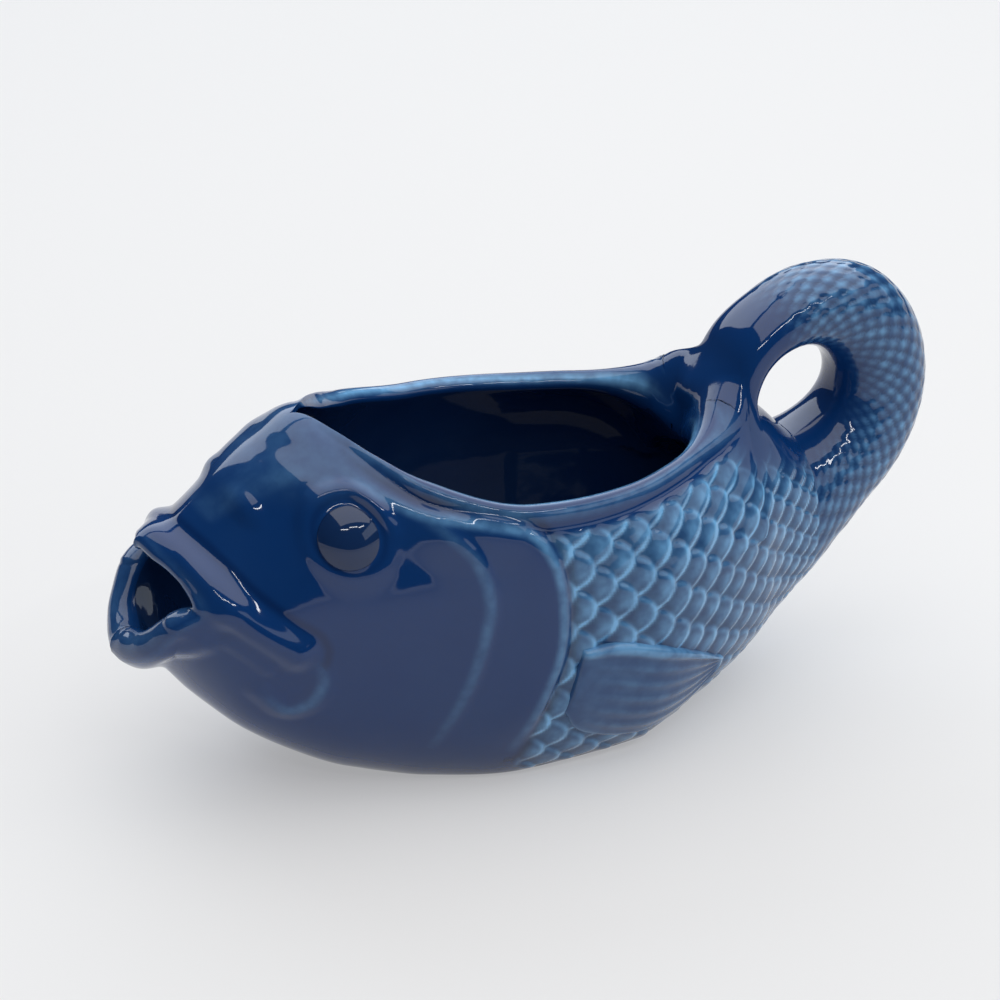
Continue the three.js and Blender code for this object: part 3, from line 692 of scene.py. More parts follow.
class Skin:
    """Net of points of one piece with its outward directions, masks of glaze and of painted sheen, and closed
    rows.
    """

    def __init__(self, plain, closed, normals, lift, thin_and_sheen, pool, wall=None):
        self.plain, self.closed, self.normals, self.wall = plain, closed, normals, wall
        self.outer = plain + normals * lift[..., None]
        self.outer[..., 2] = np.maximum(self.outer[..., 2], FOOT_CLEARANCE)
        self.thin_and_sheen, self.pool = np.clip(thin_and_sheen, 0, 1), np.clip(pool, 0, 1)


def rim_growth(x):
    """How far the rim is rolled: not at the ends of the opening, and fully between them."""
    front = smooth_step(OPENING_FRONT_X, OPENING_FRONT_X + RIM_GROWTH_FRONT, x)
    return front * smooth_step(OPENING_BACK_X, OPENING_BACK_X - RIM_GROWTH_BACK, x)


def wall_thickness(x, share, rim, from_lip, lip_roll):
    """Wall of clay: thicker in the rolled lower lip, thinner in the upper lip and at the opening's point."""
    ahead = smooth_step(OPENING_FRONT_X - TIP_WALL_REACH, OPENING_FRONT_X, x)
    at_front = x < (OPENING_FRONT_X + OPENING_BACK_X) / 2
    pointed = np.where(x < OPENING_FRONT_X, ahead, smooth_step(*POINT_HALF_WIDTHS, rim) * at_front)
    upper_lip = swelling(from_lip, LIP_ROLL_REACH) * smooth_step(*UPPER_LIP_SHARES, share + 0 * x)
    top = smooth_step(*POINT_SHARES, share + 0 * x)
    return WALL + LIP_ROLL * lip_roll - UPPER_LIP_THINNING * upper_lip - (WALL - TIP_WALL) * pointed * top


def glazed_skins():
    """Outer skins of the hull and of the tail, with their relief and the masks that the glaze and its painted
    sheen and highlights follow.
    """
    hull, across, from_lip = hull_net()
    tail_across = across[::TAIL_COLUMN_STEP]
    tail, angles, ring_lengths = tail_net(tail_across)
    x, z = hull[..., 0], hull[..., 2]
    keel = GIRTH_COLUMNS
    share, tail_share = np.abs(across)[None, :], np.abs(tail_across)[None, :]
    side_lengths = np.interp(hull[:, keel, 0], STATIONS, SIDE_LENGTHS)[:, None]
    even_lengths = even_side_lengths(hull[:, keel, 0])
    hull_count, tail_count = scale_rows(hull[:, keel, 0], even_lengths, angles, ring_lengths)

    height, thin_and_sheen, pool, behind_gill = head_relief(x, z, from_lip, share)
    rim = rim_half_width(hull[:, 0, 0])
    from_rim = (1 - share) * side_lengths + 99 * (rim[:, None] <= 1e-6)
    amount = behind_gill * smooth_step(*SCALES_FROM_RIM, from_rim) * smooth_step(*SCALES_FROM_FOOT, z)
    amount = amount * smooth_step(*SCALES_FROM_HOLE, np.hypot(x - HOLE_X, z - HOLE_Z))
    amount = amount * smooth_step(*SCALES_FROM_TIP, np.hypot(x - TIP_SCALES_X, z - HOLE_Z))
    scale_width = even_lengths[:, None] / SCALES_PER_SIDE
    round_count = share * side_lengths / scale_width
    rows = hull_count[:, None] + 0 * share
    scale, scale_thin_and_highlight, scale_pool = scale_pattern(rows, round_count, HULL_SCALE_GLAZE_AND_HIGHLIGHT)
    growth = rim_growth(x)
    bead, groove = [swelling(from_rim - line, spread) for line, spread in (RIM_BEAD_LINE, RIM_GROOVE_LINE)]
    bead = (RIM_BEAD * bead - RIM_GROOVE * groove) * growth
    lift = height + bead + SCALE_RISE * scale_width * amount * (scale - 0.5)
    # Thin glaze and painted highlights of the scales, with painted sheen on the scales high on the sides
    thin_and_sheen += (scale_thin_and_highlight + HIGH_SCALE_SHEEN * smooth_step(*HIGH_SCALE_SHEEN_HEIGHTS, z)) * amount
    thin_and_sheen += RIM_THIN * swelling(from_rim, RIM_THIN_REACH) * growth
    pool += scale_pool * amount
    closed = rim < 1e-6
    both = np.concatenate([hull, tail[:2, np.arange(len(across)) // TAIL_COLUMN_STEP]])
    normals = net_normals(both, np.concatenate([closed, [True, True]]))[:len(hull)]
    normals[-1] = net_normals(hull, closed)[-1]
    lip_roll = swelling(from_lip, LIP_ROLL_REACH) * smooth_step(*LIP_ROLL_SHARES, share + 0 * x)
    wall = wall_thickness(x, share, rim[:, None], from_lip, lip_roll)
    hull_skin = Skin(hull, closed, normals, lift, thin_and_sheen, pool, wall)

    count = scales_round(angles)[:, None]
    amount = smooth_step(*LOOP_SCALE_SHARES, tail_share + 0 * tail[..., 0])
    amount = amount * smooth_step(*LOOP_SCALE_ANGLES, angles)[:, None]
    rows = tail_count[:, None] + 0 * tail_share
    scale, thin_and_sheen, pool = scale_pattern(rows, count * tail_share, LOOP_SCALE_GLAZE_AND_HIGHLIGHT)
    lift = LOOP_SCALE_RISE * ring_lengths[:, None] / count * amount * (scale - 0.5)
    closed = np.ones(len(tail), bool)
    tail_skin = Skin(tail, closed, net_normals(tail, closed), lift, thin_and_sheen * amount, pool * amount)
    return hull_skin, tail_skin, angles


def net_faces(index):
    """Quads of a net of vertex numbers that face out of the skin."""
    a, b, c, d = index[:-1, :-1], index[:-1, 1:], index[1:, 1:], index[1:, :-1]
    return [tuple(face) for face in np.stack([a, b, c, d], -1).reshape(-1, 4)]


def zip_faces(fine, coarse):
    """Triangles between a fine and a coarse run of vertex numbers that start and end side by side."""
    faces = []
    i, j = 0, 0
    while i < len(fine) - 1 or j < len(coarse) - 1:
        fine_next = (i + 1) / (len(fine) - 1) if i < len(fine) - 1 else 2
        coarse_next = (j + 1) / (len(coarse) - 1) if j < len(coarse) - 1 else 2
        if fine_next <= coarse_next:
            faces.append((fine[i], fine[i + 1], coarse[j]))
            i += 1
        else:
            faces.append((fine[i], coarse[j + 1], coarse[j]))
            j += 1
    return faces


def turned(faces):
    """Faces that look the other way."""
    return [tuple(reversed(face)) for face in faces]


class Shell:
    """Points of a piece while it is put together, with the masks of glaze and of painted sheen of each point.
    """

    def __init__(self):
        self.points = []
        self.thin_and_sheen = []
        self.pool = []
        self.count = 0

    def add(self, points, thin_and_sheen=0.0, pool=0.0):
        """Adds a net of points and gives their vertex numbers in the same layout."""
        points = np.asarray(points, float)
        shape = points.shape[:-1]
        self.points.append(points.reshape(-1, 3))
        self.thin_and_sheen.append(np.broadcast_to(thin_and_sheen, shape).reshape(-1))
        self.pool.append(np.broadcast_to(pool, shape).reshape(-1))
        index = self.count + np.arange(int(np.prod(shape))).reshape(shape)
        self.count += index.size
        return index

    def arrays(self):
        """All points, and their masks of thin glaze with painted sheen and highlights, and of pooled glaze.
        """
        return np.concatenate(self.points), np.concatenate(self.thin_and_sheen), np.concatenate(self.pool)


def round_edge(outer, inner, bulge):
    """Rows of points round an edge, from just inside the outer skin to the inner skin."""
    middle, half = (outer + inner) / 2, (outer - inner) / 2
    angles = np.pi * np.arange(1, EDGE_ROWS + 1) / EDGE_ROWS
    return np.array([middle + half * math.cos(a) + bulge * math.sin(a) for a in angles])


def unit(vectors):
    """Directions of length 1."""
    return vectors / np.maximum(np.linalg.norm(vectors, axis=-1, keepdims=True), 1e-9)


def put_together():
    """Whole clay body: outer skins, lips, rim and the inside of the bowl."""
    hull, tail, angles = glazed_skins()
    shell = Shell()
    index = shell.add(hull.outer, hull.thin_and_sheen, hull.pool)
    index[hull.closed, -1] = index[hull.closed, 0]
    tail_index = shell.add(tail.outer, tail.thin_and_sheen, tail.pool)
    tail_index[:, -1] = tail_index[:, 0]
    hull_faces = net_faces(index)
    tail_faces = net_faces(tail_index)
    tail_faces += zip_faces(index[-1], tail_index[0])

    inner = hull.plain - hull.normals * hull.wall[..., None]
    round_share = np.arange(1, EDGE_ROWS + 1) / EDGE_ROWS
    edge_thin = np.sin(np.pi * round_share) ** 2
    # Pale line round the rim's edge: thin glaze and a painted highlight
    rim_edge_thin_and_highlight = RIM_EDGE_THIN_AND_HIGHLIGHT * bell(round_share, 0.5, RIM_EDGE_SPREAD)
    lip_half = np.linalg.norm(hull.outer[0] - inner[0], axis=-1)[:, None] / 2
    forward = unit(hull.plain[0] - hull.plain[1]) * lip_half
    lip = shell.add(round_edge(hull.outer[0], inner[0], forward), LIP_EDGE_THIN * edge_thin[:, None])
    lip[:, -1] = lip[:, 0]
    hull_faces += turned(net_faces(np.concatenate([index[:1], lip])))

    first, end = HEAD_ROWS, HEAD_ROWS + OPENING_ROWS
    rims = []
    for column, beside in ((0, 1), (-1, -2)):
        rows = slice(first, end + 1)
        growth = rim_growth(hull.plain[rows, column, 0])
        size = (RIM_ROLL_SHARE * hull.wall[rows, column] * growth)[:, None]
        upward = unit(hull.plain[rows, column] - hull.plain[rows, beside]) * size
        strip = round_edge(hull.outer[rows, column], inner[rows, column], upward)
        rim = shell.add(strip, rim_edge_thin_and_highlight[:, None] * growth)
        rims.append(np.concatenate([index[rows, column][None], rim]))
    for end_row in (0, -1):
        rims[1][:, end_row] = rims[0][:, end_row]
    hull_faces += turned(net_faces(rims[1]))
    hull_faces += net_faces(rims[0])

    bowl_faces = bowl_inside(shell, inner, lip[-1], [rim[-1] for rim in rims])
    tip = tail_index[angles > FILLET_START_ANGLE]
    return shell, index[-1], tip, *map(real_faces, (hull_faces, bowl_faces, tail_faces))


class Heights:
    """Measures how high places stand above a skin of points."""

    def __init__(self, points, normals):
        self.points, self.normals = points, normals
        self.tree = KDTree(len(points))
        for number, point in enumerate(points):
            self.tree.insert(point, number)
        self.tree.balance()

    def above(self, places):
        """Signed heights of the places, and the directions away from the skin there.

        The nearest points count most, and away from the skin those that face the place count more.
        """
        found = [self.tree.find_n(place, NEAREST_POINTS) for place in places]
        near = np.array([[hit[1] for hit in hits] for hits in found])
        far = np.array([[hit[2] for hit in hits] for hits in found])
        rise = ((places[:, None] - self.points[near]) * self.normals[near]).sum(axis=-1)
        facing = np.clip(np.abs(rise) / np.maximum(far, 1e-6), 0, 1) ** 4
        weight = np.exp((far[:, :1] - far) / (0.3 + 0.1 * far[:, :1]))
        weight = weight * (1 - smooth_step(0.5, 3.0, far[:, :1]) * (0.98 - 0.98 * facing))
        weight = weight / weight.sum(axis=1, keepdims=True)
        return (rise * weight).sum(axis=1), unit((self.normals[near] * weight[..., None]).sum(axis=1))


def fillet_size(places):
    """Size of the smoothed slip: generous in front and beside the tip, small at the finger hole."""
    front = HOLE_X - HOLE_RADIUS - HOLE_STRETCH
    joint = JOINT_FILLET * (1 - (1 - STRAP_FILLET_SHARE) * smooth_step(*STRAP_FILLET_HEIGHTS, places[:, 2]))
    ahead = smooth_step(front + 1, front - HOLE_FILLET_REACH, places[:, 0])
    return HOLE_FILLET + (joint - HOLE_FILLET) * ahead


def smooth_corner(places, own, other, dip):
    """Places moved out to the rounded corner between their own skin and another, and directions there."""
    start, steepness = dip
    for _ in range(JOINT_ROUNDS):
        near, away_near = own.above(places)
        far, away_far = other.above(places)
        size = fillet_size(places)
        share = np.clip(0.5 + 0.5 * (far - near) / size, 0, 1)
        depth = far + (near - far) * share - size * share * (1 - share)
        away = unit(away_far + (away_near - away_far) * share[:, None])
        places = places - away * (depth + steepness * np.clip(start - share, 0, 1))[:, None]
    return places, away


def smooth_joint(points, normals, tip, hull_faces, bowl_faces):
    """Runs the clay of the back up into the tip of the tail, as a potter smooths the slip in the corner."""
    hull = np.unique(np.concatenate([np.ravel(f) for f in hull_faces + bowl_faces]))
    hull = hull[(points[hull, 0] > JOINT_START_X) & (points[hull, 2] > JOINT_START_Z)]
    tip = np.unique(tip)
    above_hull = Heights(points[hull], normals[hull])
    above_tail = Heights(points[tip], normals[tip])
    moves = []
    sides = ((hull, above_hull, above_tail, HULL_DIP), (tip, above_tail, above_hull, TAIL_DIP))
    for mine, own, other, dip in sides:
        height, _ = other.above(points[mine])
        mine = mine[(height > -JOINT_OVERLAP) & (height < fillet_size(points[mine]))]
        moves.append((mine, *smooth_corner(points[mine], own, other, dip)))
    for mine, places, away in moves:
        points[mine] = places
        normals[mine] = away


def bowl_inside(shell, inner, lip, rims):
    """Inner skin of the bowl, coarser than the outside, sewn to the lip and the rims."""
    first, end = HEAD_ROWS, HEAD_ROWS + OPENING_ROWS
    rows = np.arange(0, end + 1, INNER_ROW_STEP)
    columns = np.arange(0, 2 * GIRTH_COLUMNS + 1, INNER_COLUMN_STEP)
    net = inner[np.ix_(rows, columns)]
    tip = net[-1].mean(axis=0)
    closing = []
    for angle in BOWL_END_ANGLES:
        ring = tip + (net[-1] - tip) * math.cos(angle)
        ring[:, 0] += BOWL_END_DEPTH * math.sin(angle)
        closing.append(ring)
    index = shell.add(np.concatenate([net, closing]))
    row_of = {int(r): k for k, r in enumerate(rows)}
    a, b = row_of[first], row_of[end]
    closed = np.ones(len(index), bool)
    closed[a + 1:b] = False
    index[closed, -1] = index[closed, 0]
    for k in (a, b):
        index[k, 0] = index[k, -1] = rims[0][0 if k == a else -1]
    faces = turned(net_faces(index[1:a + 1]))
    faces += turned(net_faces(index[a:b + 1, 1:-1]))
    faces += turned(net_faces(index[b:]))
    faces += turned(zip_faces(lip, index[1]))
    faces += zip_faces(rims[0], index[a:b + 1, 1])
    faces += turned(zip_faces(rims[1], index[a:b + 1, -2]))
    end_point = shell.add(tip[None] + np.array([[BOWL_END_DEPTH, 0, 0]]))[0]
    ring = index[-1]
    faces += [(ring[k + 1], ring[k], end_point) for k in range(len(ring) - 1)]
    return faces


def real_faces(faces):
    """Faces without repeated corners; a quad that has one becomes a triangle."""
    kept = []
    for face in faces:
        corners = [int(c) for k, c in enumerate(face) if c != face[k - 1]]
        if len(corners) >= 3:
            kept.append(corners)
    return kept


def point_normals(points, faces):
    """Mean direction of the faces round each point."""
    normals = np.zeros_like(points)
    for size in (3, 4):
        group = np.array([f for f in faces if len(f) == size])
        if not len(group):
            continue
        p = points[group]
        if size == 4:
            cross = np.cross(p[:, 2] - p[:, 0], p[:, 3] - p[:, 1])
        else:
            cross = np.cross(p[:, 1] - p[:, 0], p[:, 2] - p[:, 0])
        for k in range(size):
            np.add.at(normals, group[:, k], cross)
    return unit(normals)


def make_piece(name, points, faces, materials, nodes, face_material=None, masks=None, normals=None):
    """Mesh object in metres, riding on the part's one body in place of the given nodes."""
    used = np.unique(np.concatenate([np.asarray(f) for f in faces]))
    number = np.full(len(points), -1)
    number[used] = np.arange(len(used))
    mesh = bpy.data.meshes.new(name)
    mesh.from_pydata((points[used] * MM).tolist(), [], [[int(number[c]) for c in f] for f in faces])
    for material in materials:
        mesh.materials.append(material)
    mesh.polygons.foreach_set("use_smooth", np.ones(len(faces), bool))
    if face_material is not None:
        mesh.polygons.foreach_set("material_index", np.asarray(face_material, np.int32))
    for mask, values in (masks or {}).items():
        layer = mesh.attributes.new(mask, "FLOAT", "POINT")
        layer.data.foreach_set("value", np.asarray(values, np.float32)[used])
    mesh.update()
    if normals is not None:
        mesh.normals_split_custom_set_from_vertices(normals[used].tolist())
    piece = bpy.data.objects.new(name, mesh)
    bpy.context.scene.collection.objects.link(piece)
    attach(piece, "root")
    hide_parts(*nodes)
    return piece


def make_body(glaze, bowl_glaze):
    """Hull and tail as two luted pieces whose glaze runs on over the joints."""
    shell, joint, tip, hull_faces, bowl_faces, tail_faces = put_together()
    joint_middle = int(shell.add(np.array([[HOLE_X, 0, HOLE_Z - HOLE_RADIUS - ROOT_DEPTH / 2]]))[0])
    seat_x = HOLE_X - HOLE_RADIUS - HOLE_STRETCH - tail_thickness(TAIL_END) / 2
    tip_middle = int(shell.add(np.array([[seat_x, 0, back_line(seat_x) - SEAT_DEPTH]]))[0])
    points, thin_and_sheen, pool = shell.arrays()
    normals = point_normals(points, hull_faces + bowl_faces + tail_faces)
    smooth_joint(points, normals, tip, hull_faces, bowl_faces)
    ring = [(int(joint[k]), int(joint[k + 1])) for k in range(len(joint) - 1)]
    end = [(int(tip[-1, k]), int(tip[-1, k + 1])) for k in range(tip.shape[1] - 1)]
    hull_cap = real_faces([(a, b, joint_middle) for a, b in ring])
    tail_cap = real_faces([(b, a, joint_middle) for a, b in ring] + [(a, b, tip_middle) for a, b in end])
    # Mask of thin glaze and of painted sheen and highlights, and mask of pooled glaze
    masks = {"thin_and_sheen": thin_and_sheen, "pool": pool}
    faces = hull_faces + hull_cap + bowl_faces
    inside = [0] * (len(hull_faces) + len(hull_cap)) + [1] * len(bowl_faces)
    make_piece("glazed_hull", points, faces, [glaze, bowl_glaze], ["hull"],
               inside, masks, normals)
    make_piece("glazed_tail", points, tail_faces + tail_cap, [glaze], ["tail_handle"],
               None, masks, normals)


def make_side_piece(name, side, shell, faces, glaze, node):
    """Piece on the right-hand side of the fish, or its mirror image on the left-hand side."""
    points, thin_and_sheen, pool = shell.arrays()
    if side < 0:
        points = points * np.array([1, -1, 1])
        faces = turned(faces)
    make_piece(name, points, real_faces(faces), [glaze], [node], None, {"thin_and_sheen": thin_and_sheen, "pool": pool})


def net_border(index):
    """Vertex numbers once round the edge of a net."""
    return np.concatenate([index[0, :], index[1:, -1], index[-1, -2::-1], index[-2:0:-1, 0], index[0, :1]])


def make_fin(name, side, node, glaze):
    """Leaf-shaped fin on the belly with a thick upper edge and soft rays."""
    low, high = spline(FIN_LOWER, FIN_ROWS + 1), spline(FIN_UPPER, FIN_ROWS + 1)
    rows, columns = np.linspace(0, 1, FIN_ROWS + 1), np.linspace(0, 1, FIN_COLUMNS + 1)
    along, across = np.meshgrid(rows, columns, indexing="ij")
    place = low[:, None] + (high - low)[:, None] * across[..., None]
    x, z = place[..., 0], place[..., 1]
    skin = np.stack([x, side_half_width(x, z), z], -1)
    normal = side_normal(x, z)
    round_sides = np.sqrt(np.clip(1 - (2 * np.abs(across - 0.5)) ** 14, 0, 1))
    round_ends = np.sqrt(np.clip(1 - np.abs(2 * along - 1) ** 26, 0, 1))
    crest = smooth_step(0.86, 0.95, across)
    thickness = FIN_THICKNESS + FIN_EDGE_RISE * crest * (1 - 0.3 * along)
    thickness += FIN_ROOT_RISE * (1 - along) * smooth_step(0, 0.4, across) * (1 - crest)
    rays = FIN_RAY_RISE * np.cos(2 * np.pi * FIN_RAYS * across) * smooth_step(0.1, 0.45, along) * (1 - crest)
    face = skin + normal * ((thickness + rays) * round_sides * round_ends - FIN_SINK)[..., None]
    thin_and_sheen = FIN_THIN + FIN_EDGE_THIN * crest + FIN_FOOT_THIN * smooth_step(0.08, 0.0, across)
    thin_and_sheen += FIN_TIP_THIN * smooth_step(0.93, 1.0, along) + FIN_RAY_THIN * np.clip(rays, 0, 1)
    shell = Shell()
    front = shell.add(face, np.clip(thin_and_sheen, 0, 1))
    back = shell.add(skin - normal * FIN_SEAT)
    faces = net_faces(front) + turned(net_faces(back))
    border, under = net_border(front), net_border(back)
    faces += [(border[k], under[k], under[k + 1], border[k + 1]) for k in range(len(border) - 1)]
    make_side_piece(name, side, shell, faces, glaze, node)


def make_eye(name, side, node, glaze):
    """Domed eye pellet."""
    x0, z0 = np.array(EYE[0]), np.array(EYE[1])
    normal = side_normal(x0, z0)
    middle = np.array([EYE[0], float(side_half_width(x0, z0)), EYE[1]]) + normal * EYE_STAND
    ahead = unit(np.cross(normal, [0, 0, 1.0]))
    up = np.cross(ahead, normal)
    turn = 2 * np.pi * np.arange(EYE_SIDES + 1) / EYE_SIDES
    circle = EYE_RADIUS * (np.cos(turn)[:, None] * ahead + np.sin(turn)[:, None] * up)
    shell = Shell()
    rows = []
    for share in np.linspace(0, 1, EYE_RINGS + 1)[1:]:
        dome = EYE_DOME * (1 - share ** EYE_DOME_POWER)
        rows.append(shell.add(middle + share * circle + normal * dome))
    root = shell.add(middle - normal * EYE_ROOT_DEPTH + EYE_ROOT_SHARE * circle)
    rows.append(root)
    index = np.array(rows)
    index[:, -1] = index[:, 0]
    top = shell.add(middle[None] + normal * EYE_DOME)[0]
    foot = shell.add(middle[None] - normal * EYE_ROOT_DEPTH)[0]
    faces = turned(net_faces(index))
    faces += [(int(index[0, k]), int(index[0, k + 1]), int(top)) for k in range(EYE_SIDES)]
    faces += [(int(root[(k + 1) % EYE_SIDES]), int(root[k]), int(foot)) for k in range(EYE_SIDES)]
    make_side_piece(name, side, shell, faces, glaze, node)


def add_math(nodes, link, operation, first, second):
    """Node that works out one number from two."""
    node = nodes.new("ShaderNodeMath")
    node.operation = operation
    link(first, node.inputs[0])
    link(second, node.inputs[1])
    return node


def add_range(nodes, link, value, start, end, low, high):
    """Node that turns values from start to end into values from low to high."""
    node = nodes.new("ShaderNodeMapRange")
    for socket, number in (("From Min", start), ("From Max", end), ("To Min", low), ("To Max", high)):
        node.inputs[socket].default_value = number
    link(value, node.inputs["Value"])
    return node


def add_noise(nodes, link, place, scale, detail):
    """Cloudy noise that is fixed to the piece."""
    node = nodes.new("ShaderNodeTexNoise")
    node.inputs["Scale"].default_value = scale
    node.inputs["Detail"].default_value = detail
    link(place, node.inputs["Vector"])
    return node


def add_colour_mix(nodes, link, share, first, second):
    """Colour that goes from the first to the second as the share grows."""
    node = nodes.new("ShaderNodeMix")
    node.data_type = "RGBA"
    link(share, node.inputs["Factor"])
    link(first, node.inputs["A"])
    link(second, node.inputs["B"])
    return node.outputs["Result"]


def add_mask(nodes, name):
    """Glaze mask of a piece's points."""
    node = nodes.new("ShaderNodeAttribute")
    node.attribute_name = name
    return node


def glaze_group():
    """Translucent glaze: pale where it runs thin and where sheen and highlights are painted, dark where it
    pools, faintly mottled and rippled.
    """
    group = bpy.data.node_groups.new("running_glaze", "ShaderNodeTree")
    for socket in ("Body", "Thin_and_sheen", "Pooled"):
        group.interface.new_socket(socket, in_out="INPUT", socket_type="NodeSocketColor")
    group.interface.new_socket("Mottle", in_out="INPUT", socket_type="NodeSocketFloat")
    group.interface.new_socket("Color", in_out="OUTPUT", socket_type="NodeSocketColor")
    for socket in ("Roughness", "Ripple"):
        group.interface.new_socket(socket, in_out="OUTPUT", socket_type="NodeSocketFloat")
    nodes, link = group.nodes, group.links.new
    given, result = nodes.new("NodeGroupInput"), nodes.new("NodeGroupOutput")
    place = nodes.new("ShaderNodeTexCoord").outputs["Object"]
    cloud = add_noise(nodes, link, place, 45.0, 3.0)
    fleck = add_noise(nodes, link, place, 220.0, 2.0)
    # Mask of thin glaze and of painted sheen and highlights, and mask of pooled glaze
    thin_and_sheen, pool = add_mask(nodes, "thin_and_sheen"), add_mask(nodes, "pool")
    broken = add_range(nodes, link, fleck.outputs["Fac"], 0.35, 0.65, 0.65, 1.3)
    thin_and_sheen_broken = add_math(nodes, link, "MULTIPLY", thin_and_sheen.outputs["Fac"], broken.outputs["Result"])
    thin_and_sheen_broken.use_clamp = True
    clouding = add_math(nodes, link, "MULTIPLY", cloud.outputs["Fac"], given.outputs["Mottle"])
    body, pale, dark = (given.outputs[socket] for socket in ("Body", "Thin_and_sheen", "Pooled"))
    mottled = add_colour_mix(nodes, link, clouding.outputs[0], body, pale)
    pooled = add_colour_mix(nodes, link, pool.outputs["Fac"], mottled, dark)
    paled = add_colour_mix(nodes, link, thin_and_sheen_broken.outputs[0], pooled, pale)
    rough = add_range(nodes, link, cloud.outputs["Fac"], 0.0, 1.0, 0.035, 0.085)
    link(paled, result.inputs["Color"])
    link(rough.outputs["Result"], result.inputs["Roughness"])
    link(cloud.outputs["Fac"], result.inputs["Ripple"])
    return group


def glaze_material(name, group, body, thin_and_sheen, pooled, mottle):
    """Glossy glaze in its given colours, whose pale one also paints sheen and highlights, on a faintly
    rippled surface.
    """
    material = bpy.data.materials.new(name)
    material.use_nodes = True
    nodes, link = material.node_tree.nodes, material.node_tree.links.new
    shader = nodes["Principled BSDF"]
    shader.inputs["IOR"].default_value = 1.52
    glaze = nodes.new("ShaderNodeGroup")
    glaze.node_tree = group
    glaze.inputs["Body"].default_value = (*body, 1)
    glaze.inputs["Thin_and_sheen"].default_value = (*thin_and_sheen, 1)
    glaze.inputs["Pooled"].default_value = (*pooled, 1)
    glaze.inputs["Mottle"].default_value = mottle
    bump = nodes.new("ShaderNodeBump")
    bump.inputs["Strength"].default_value = 0.12
    bump.inputs["Distance"].default_value = 0.002
    link(glaze.outputs["Color"], shader.inputs["Base Color"])
    link(glaze.outputs["Roughness"], shader.inputs["Roughness"])
    link(glaze.outputs["Ripple"], bump.inputs["Height"])
    link(bump.outputs["Normal"], shader.inputs["Normal"])
    return material


def table_material():
    """Pale table top with a plain background share that the camera and the glaze's reflections see."""
    material = bpy.data.materials.new("pale_table")
    material.use_nodes = True
    nodes, link = material.node_tree.nodes, material.node_tree.links.new
    shader = nodes["Principled BSDF"]
    shader.inputs["Specular IOR Level"].default_value = 0.2
    shader.inputs["Roughness"].default_value = 0.6
    noise = nodes.new("ShaderNodeTexNoise")
    noise.inputs["Scale"].default_value = 6.0
    ramp = nodes.new("ShaderNodeValToRGB")
    ramp.color_ramp.elements[0].color = (0.82, 0.81, 0.80, 1)
    ramp.color_ramp.elements[1].color = (0.85, 0.84, 0.83, 1)
    link(noise.outputs["Fac"], ramp.inputs["Fac"])
    link(ramp.outputs["Color"], shader.inputs["Base Color"])
    pale = nodes.new("ShaderNodeEmission")
    pale.inputs["Color"].default_value = (0.87, 0.87, 0.88, 1)
    rays = nodes.new("ShaderNodeLightPath").outputs
    seen = add_math(nodes, link, "MAXIMUM", rays["Is Camera Ray"], rays["Is Glossy Ray"])
    seen = add_math(nodes, link, "MAXIMUM", seen.outputs[0], rays["Is Transmission Ray"])
    far = nodes.new("ShaderNodeVectorMath")
    far.operation = "LENGTH"
    link(nodes.new("ShaderNodeNewGeometry").outputs["Position"], far.inputs[0])
    further = add_range(nodes, link, far.outputs["Value"], NEAR_FLOOR, FAR_FLOOR, NEAR_PALE_SHARE, 1.0)
    further.interpolation_type = "SMOOTHSTEP"
    share = add_math(nodes, link, "MULTIPLY", seen.outputs[0], further.outputs["Result"])
    blend = nodes.new("ShaderNodeMixShader")
    link(share.outputs[0], blend.inputs["Fac"])
    link(shader.outputs["BSDF"], blend.inputs[1])
    link(pale.outputs["Emission"], blend.inputs[2])
    link(blend.outputs["Shader"], nodes["Material Output"].inputs["Surface"])
    return material


def make_floor():
    """Large plain table top."""
    half = FLOOR_HALF
    corners = [(-half, -half, 0), (half, -half, 0), (half, half, 0), (-half, half, 0)]
    mesh = bpy.data.meshes.new("table_top")
    mesh.from_pydata(corners, [], [(0, 1, 2, 3)])
    mesh.materials.append(table_material())
    floor = bpy.data.objects.new("table_top", mesh)
    bpy.context.scene.collection.objects.link(floor)


def add_softbox(name, place, aim, size, power, color=(1, 1, 1)):
    """Rectangular lamp at a place, turned towards another, with its size in metres and its power in watts."""
    light = bpy.data.lights.new(name, "AREA")
    light.shape = "RECTANGLE"
    light.size, light.size_y = size
    light.energy = power
    light.color = color
    lamp = bpy.data.objects.new(name, light)
    lamp.location = place
    lamp.rotation_euler = (Vector(aim) - Vector(place)).to_track_quat("-Z", "Y").to_euler()
    bpy.context.scene.collection.objects.link(lamp)


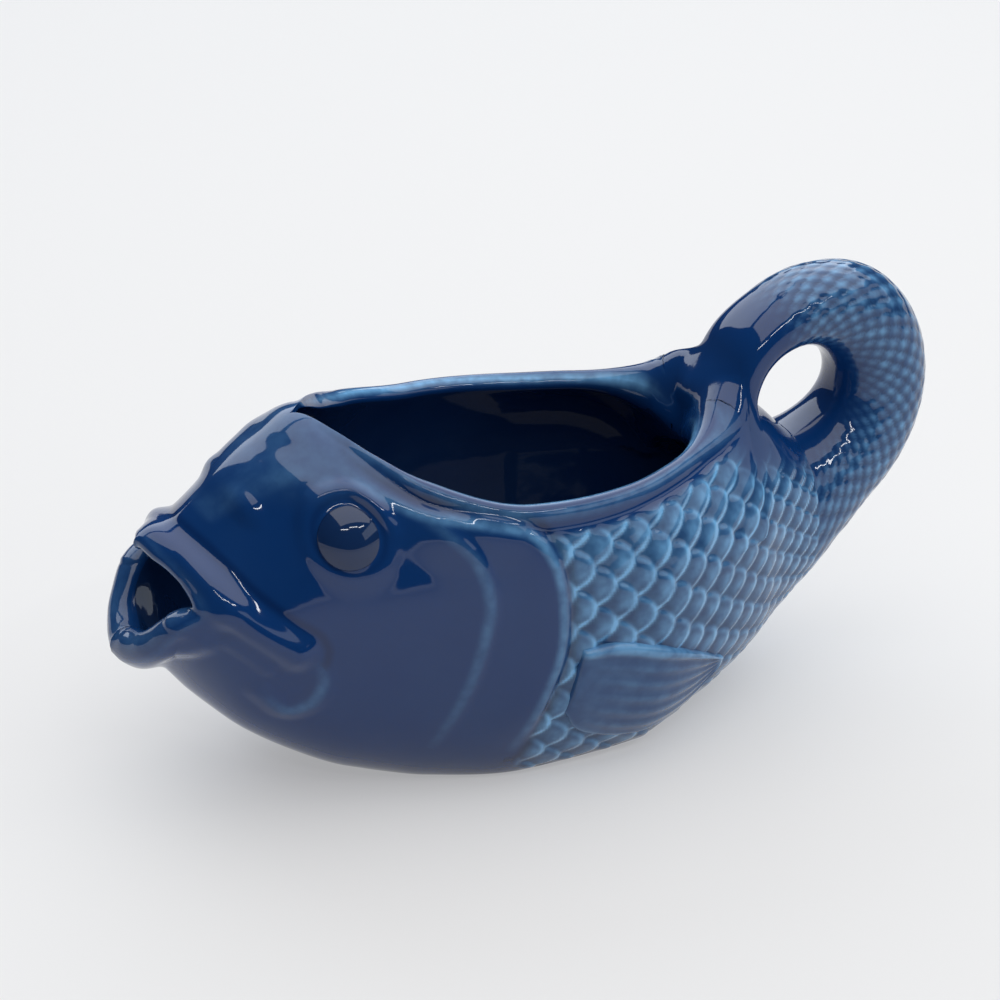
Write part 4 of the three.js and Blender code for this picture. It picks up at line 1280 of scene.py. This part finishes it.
def light_the_table():
    """Wide soft ceiling and back, a weak wall on the right, three narrow windows in front, a dark room."""
    world = bpy.data.worlds.new("room")
    world.use_nodes = True
    back = world.node_tree.nodes["Background"]
    back.inputs["Color"].default_value = (0.5, 0.52, 0.56, 1)
    back.inputs["Strength"].default_value = 0.06
    bpy.context.scene.world = world
    add_softbox("ceiling_softbox", (0.42, 0.1, 1.5), (0.42, 0.1, 0), (2.56, 1.8), 25)
    add_softbox("back_softbox", (0.4, 2.2, 1.5), (0.2, 0.6, 0), (3.4, 1.8), 42, (0.9, 0.97, 1.05))
    boat = (0, 0, 0.06)
    add_softbox("right_wall_softbox", (1.25, -0.95, 0.85), boat, (2.2, 0.6), 4.6, (0.88, 0.97, 1.05))
    for number, x in enumerate((-0.5, -0.05, 0.4)):
        add_softbox(f"front_window_{number}", (x, -0.85, 1.0), boat, (0.4, 0.04), 1.0)


def place_camera():
    """Camera where the photograph was taken from."""
    azimuth, elevation = math.radians(CAMERA_AZIMUTH), math.radians(CAMERA_ELEVATION)
    level = math.cos(elevation)
    back = Vector((math.sin(azimuth) * level, -math.cos(azimuth) * level, math.sin(elevation)))
    target = Vector(CAMERA_TARGET) * MM
    camera = bpy.data.cameras.new("photo_camera")
    camera.sensor_width = CAMERA_SENSOR
    camera.lens = CAMERA_LENS
    eye = bpy.data.objects.new("photo_camera", camera)
    eye.location = target + back * CAMERA_DISTANCE * MM
    eye.rotation_euler = (-back).to_track_quat("-Z", "Y").to_euler()
    bpy.context.scene.collection.objects.link(eye)
    bpy.context.scene.camera = eye


group = glaze_group()
blue_glaze = glaze_material("blue_glaze", group, BODY_BLUE, THIN_AND_SHEEN_BLUE, POOL_BLUE, 0.03)
bowl_glaze = glaze_material("bowl_glaze", group, POOL_BLUE, THIN_AND_SHEEN_BLUE, POOL_BLUE, 0.05)
eye_glaze = glaze_material("eye_glaze", group, POOL_BLUE, THIN_AND_SHEEN_BLUE, POOL_BLUE, 0.05)
make_body(blue_glaze, bowl_glaze)
make_fin("glazed_fin_right", 1, "pectoral_fin_right", blue_glaze)
make_fin("glazed_fin_left", -1, "pectoral_fin_left", blue_glaze)
make_eye("glazed_eye_right", 1, "eye_right", eye_glaze)
make_eye("glazed_eye_left", -1, "eye_left", eye_glaze)
make_floor()
light_the_table()
place_camera()
bpy.context.scene.view_settings.view_transform = "Standard"
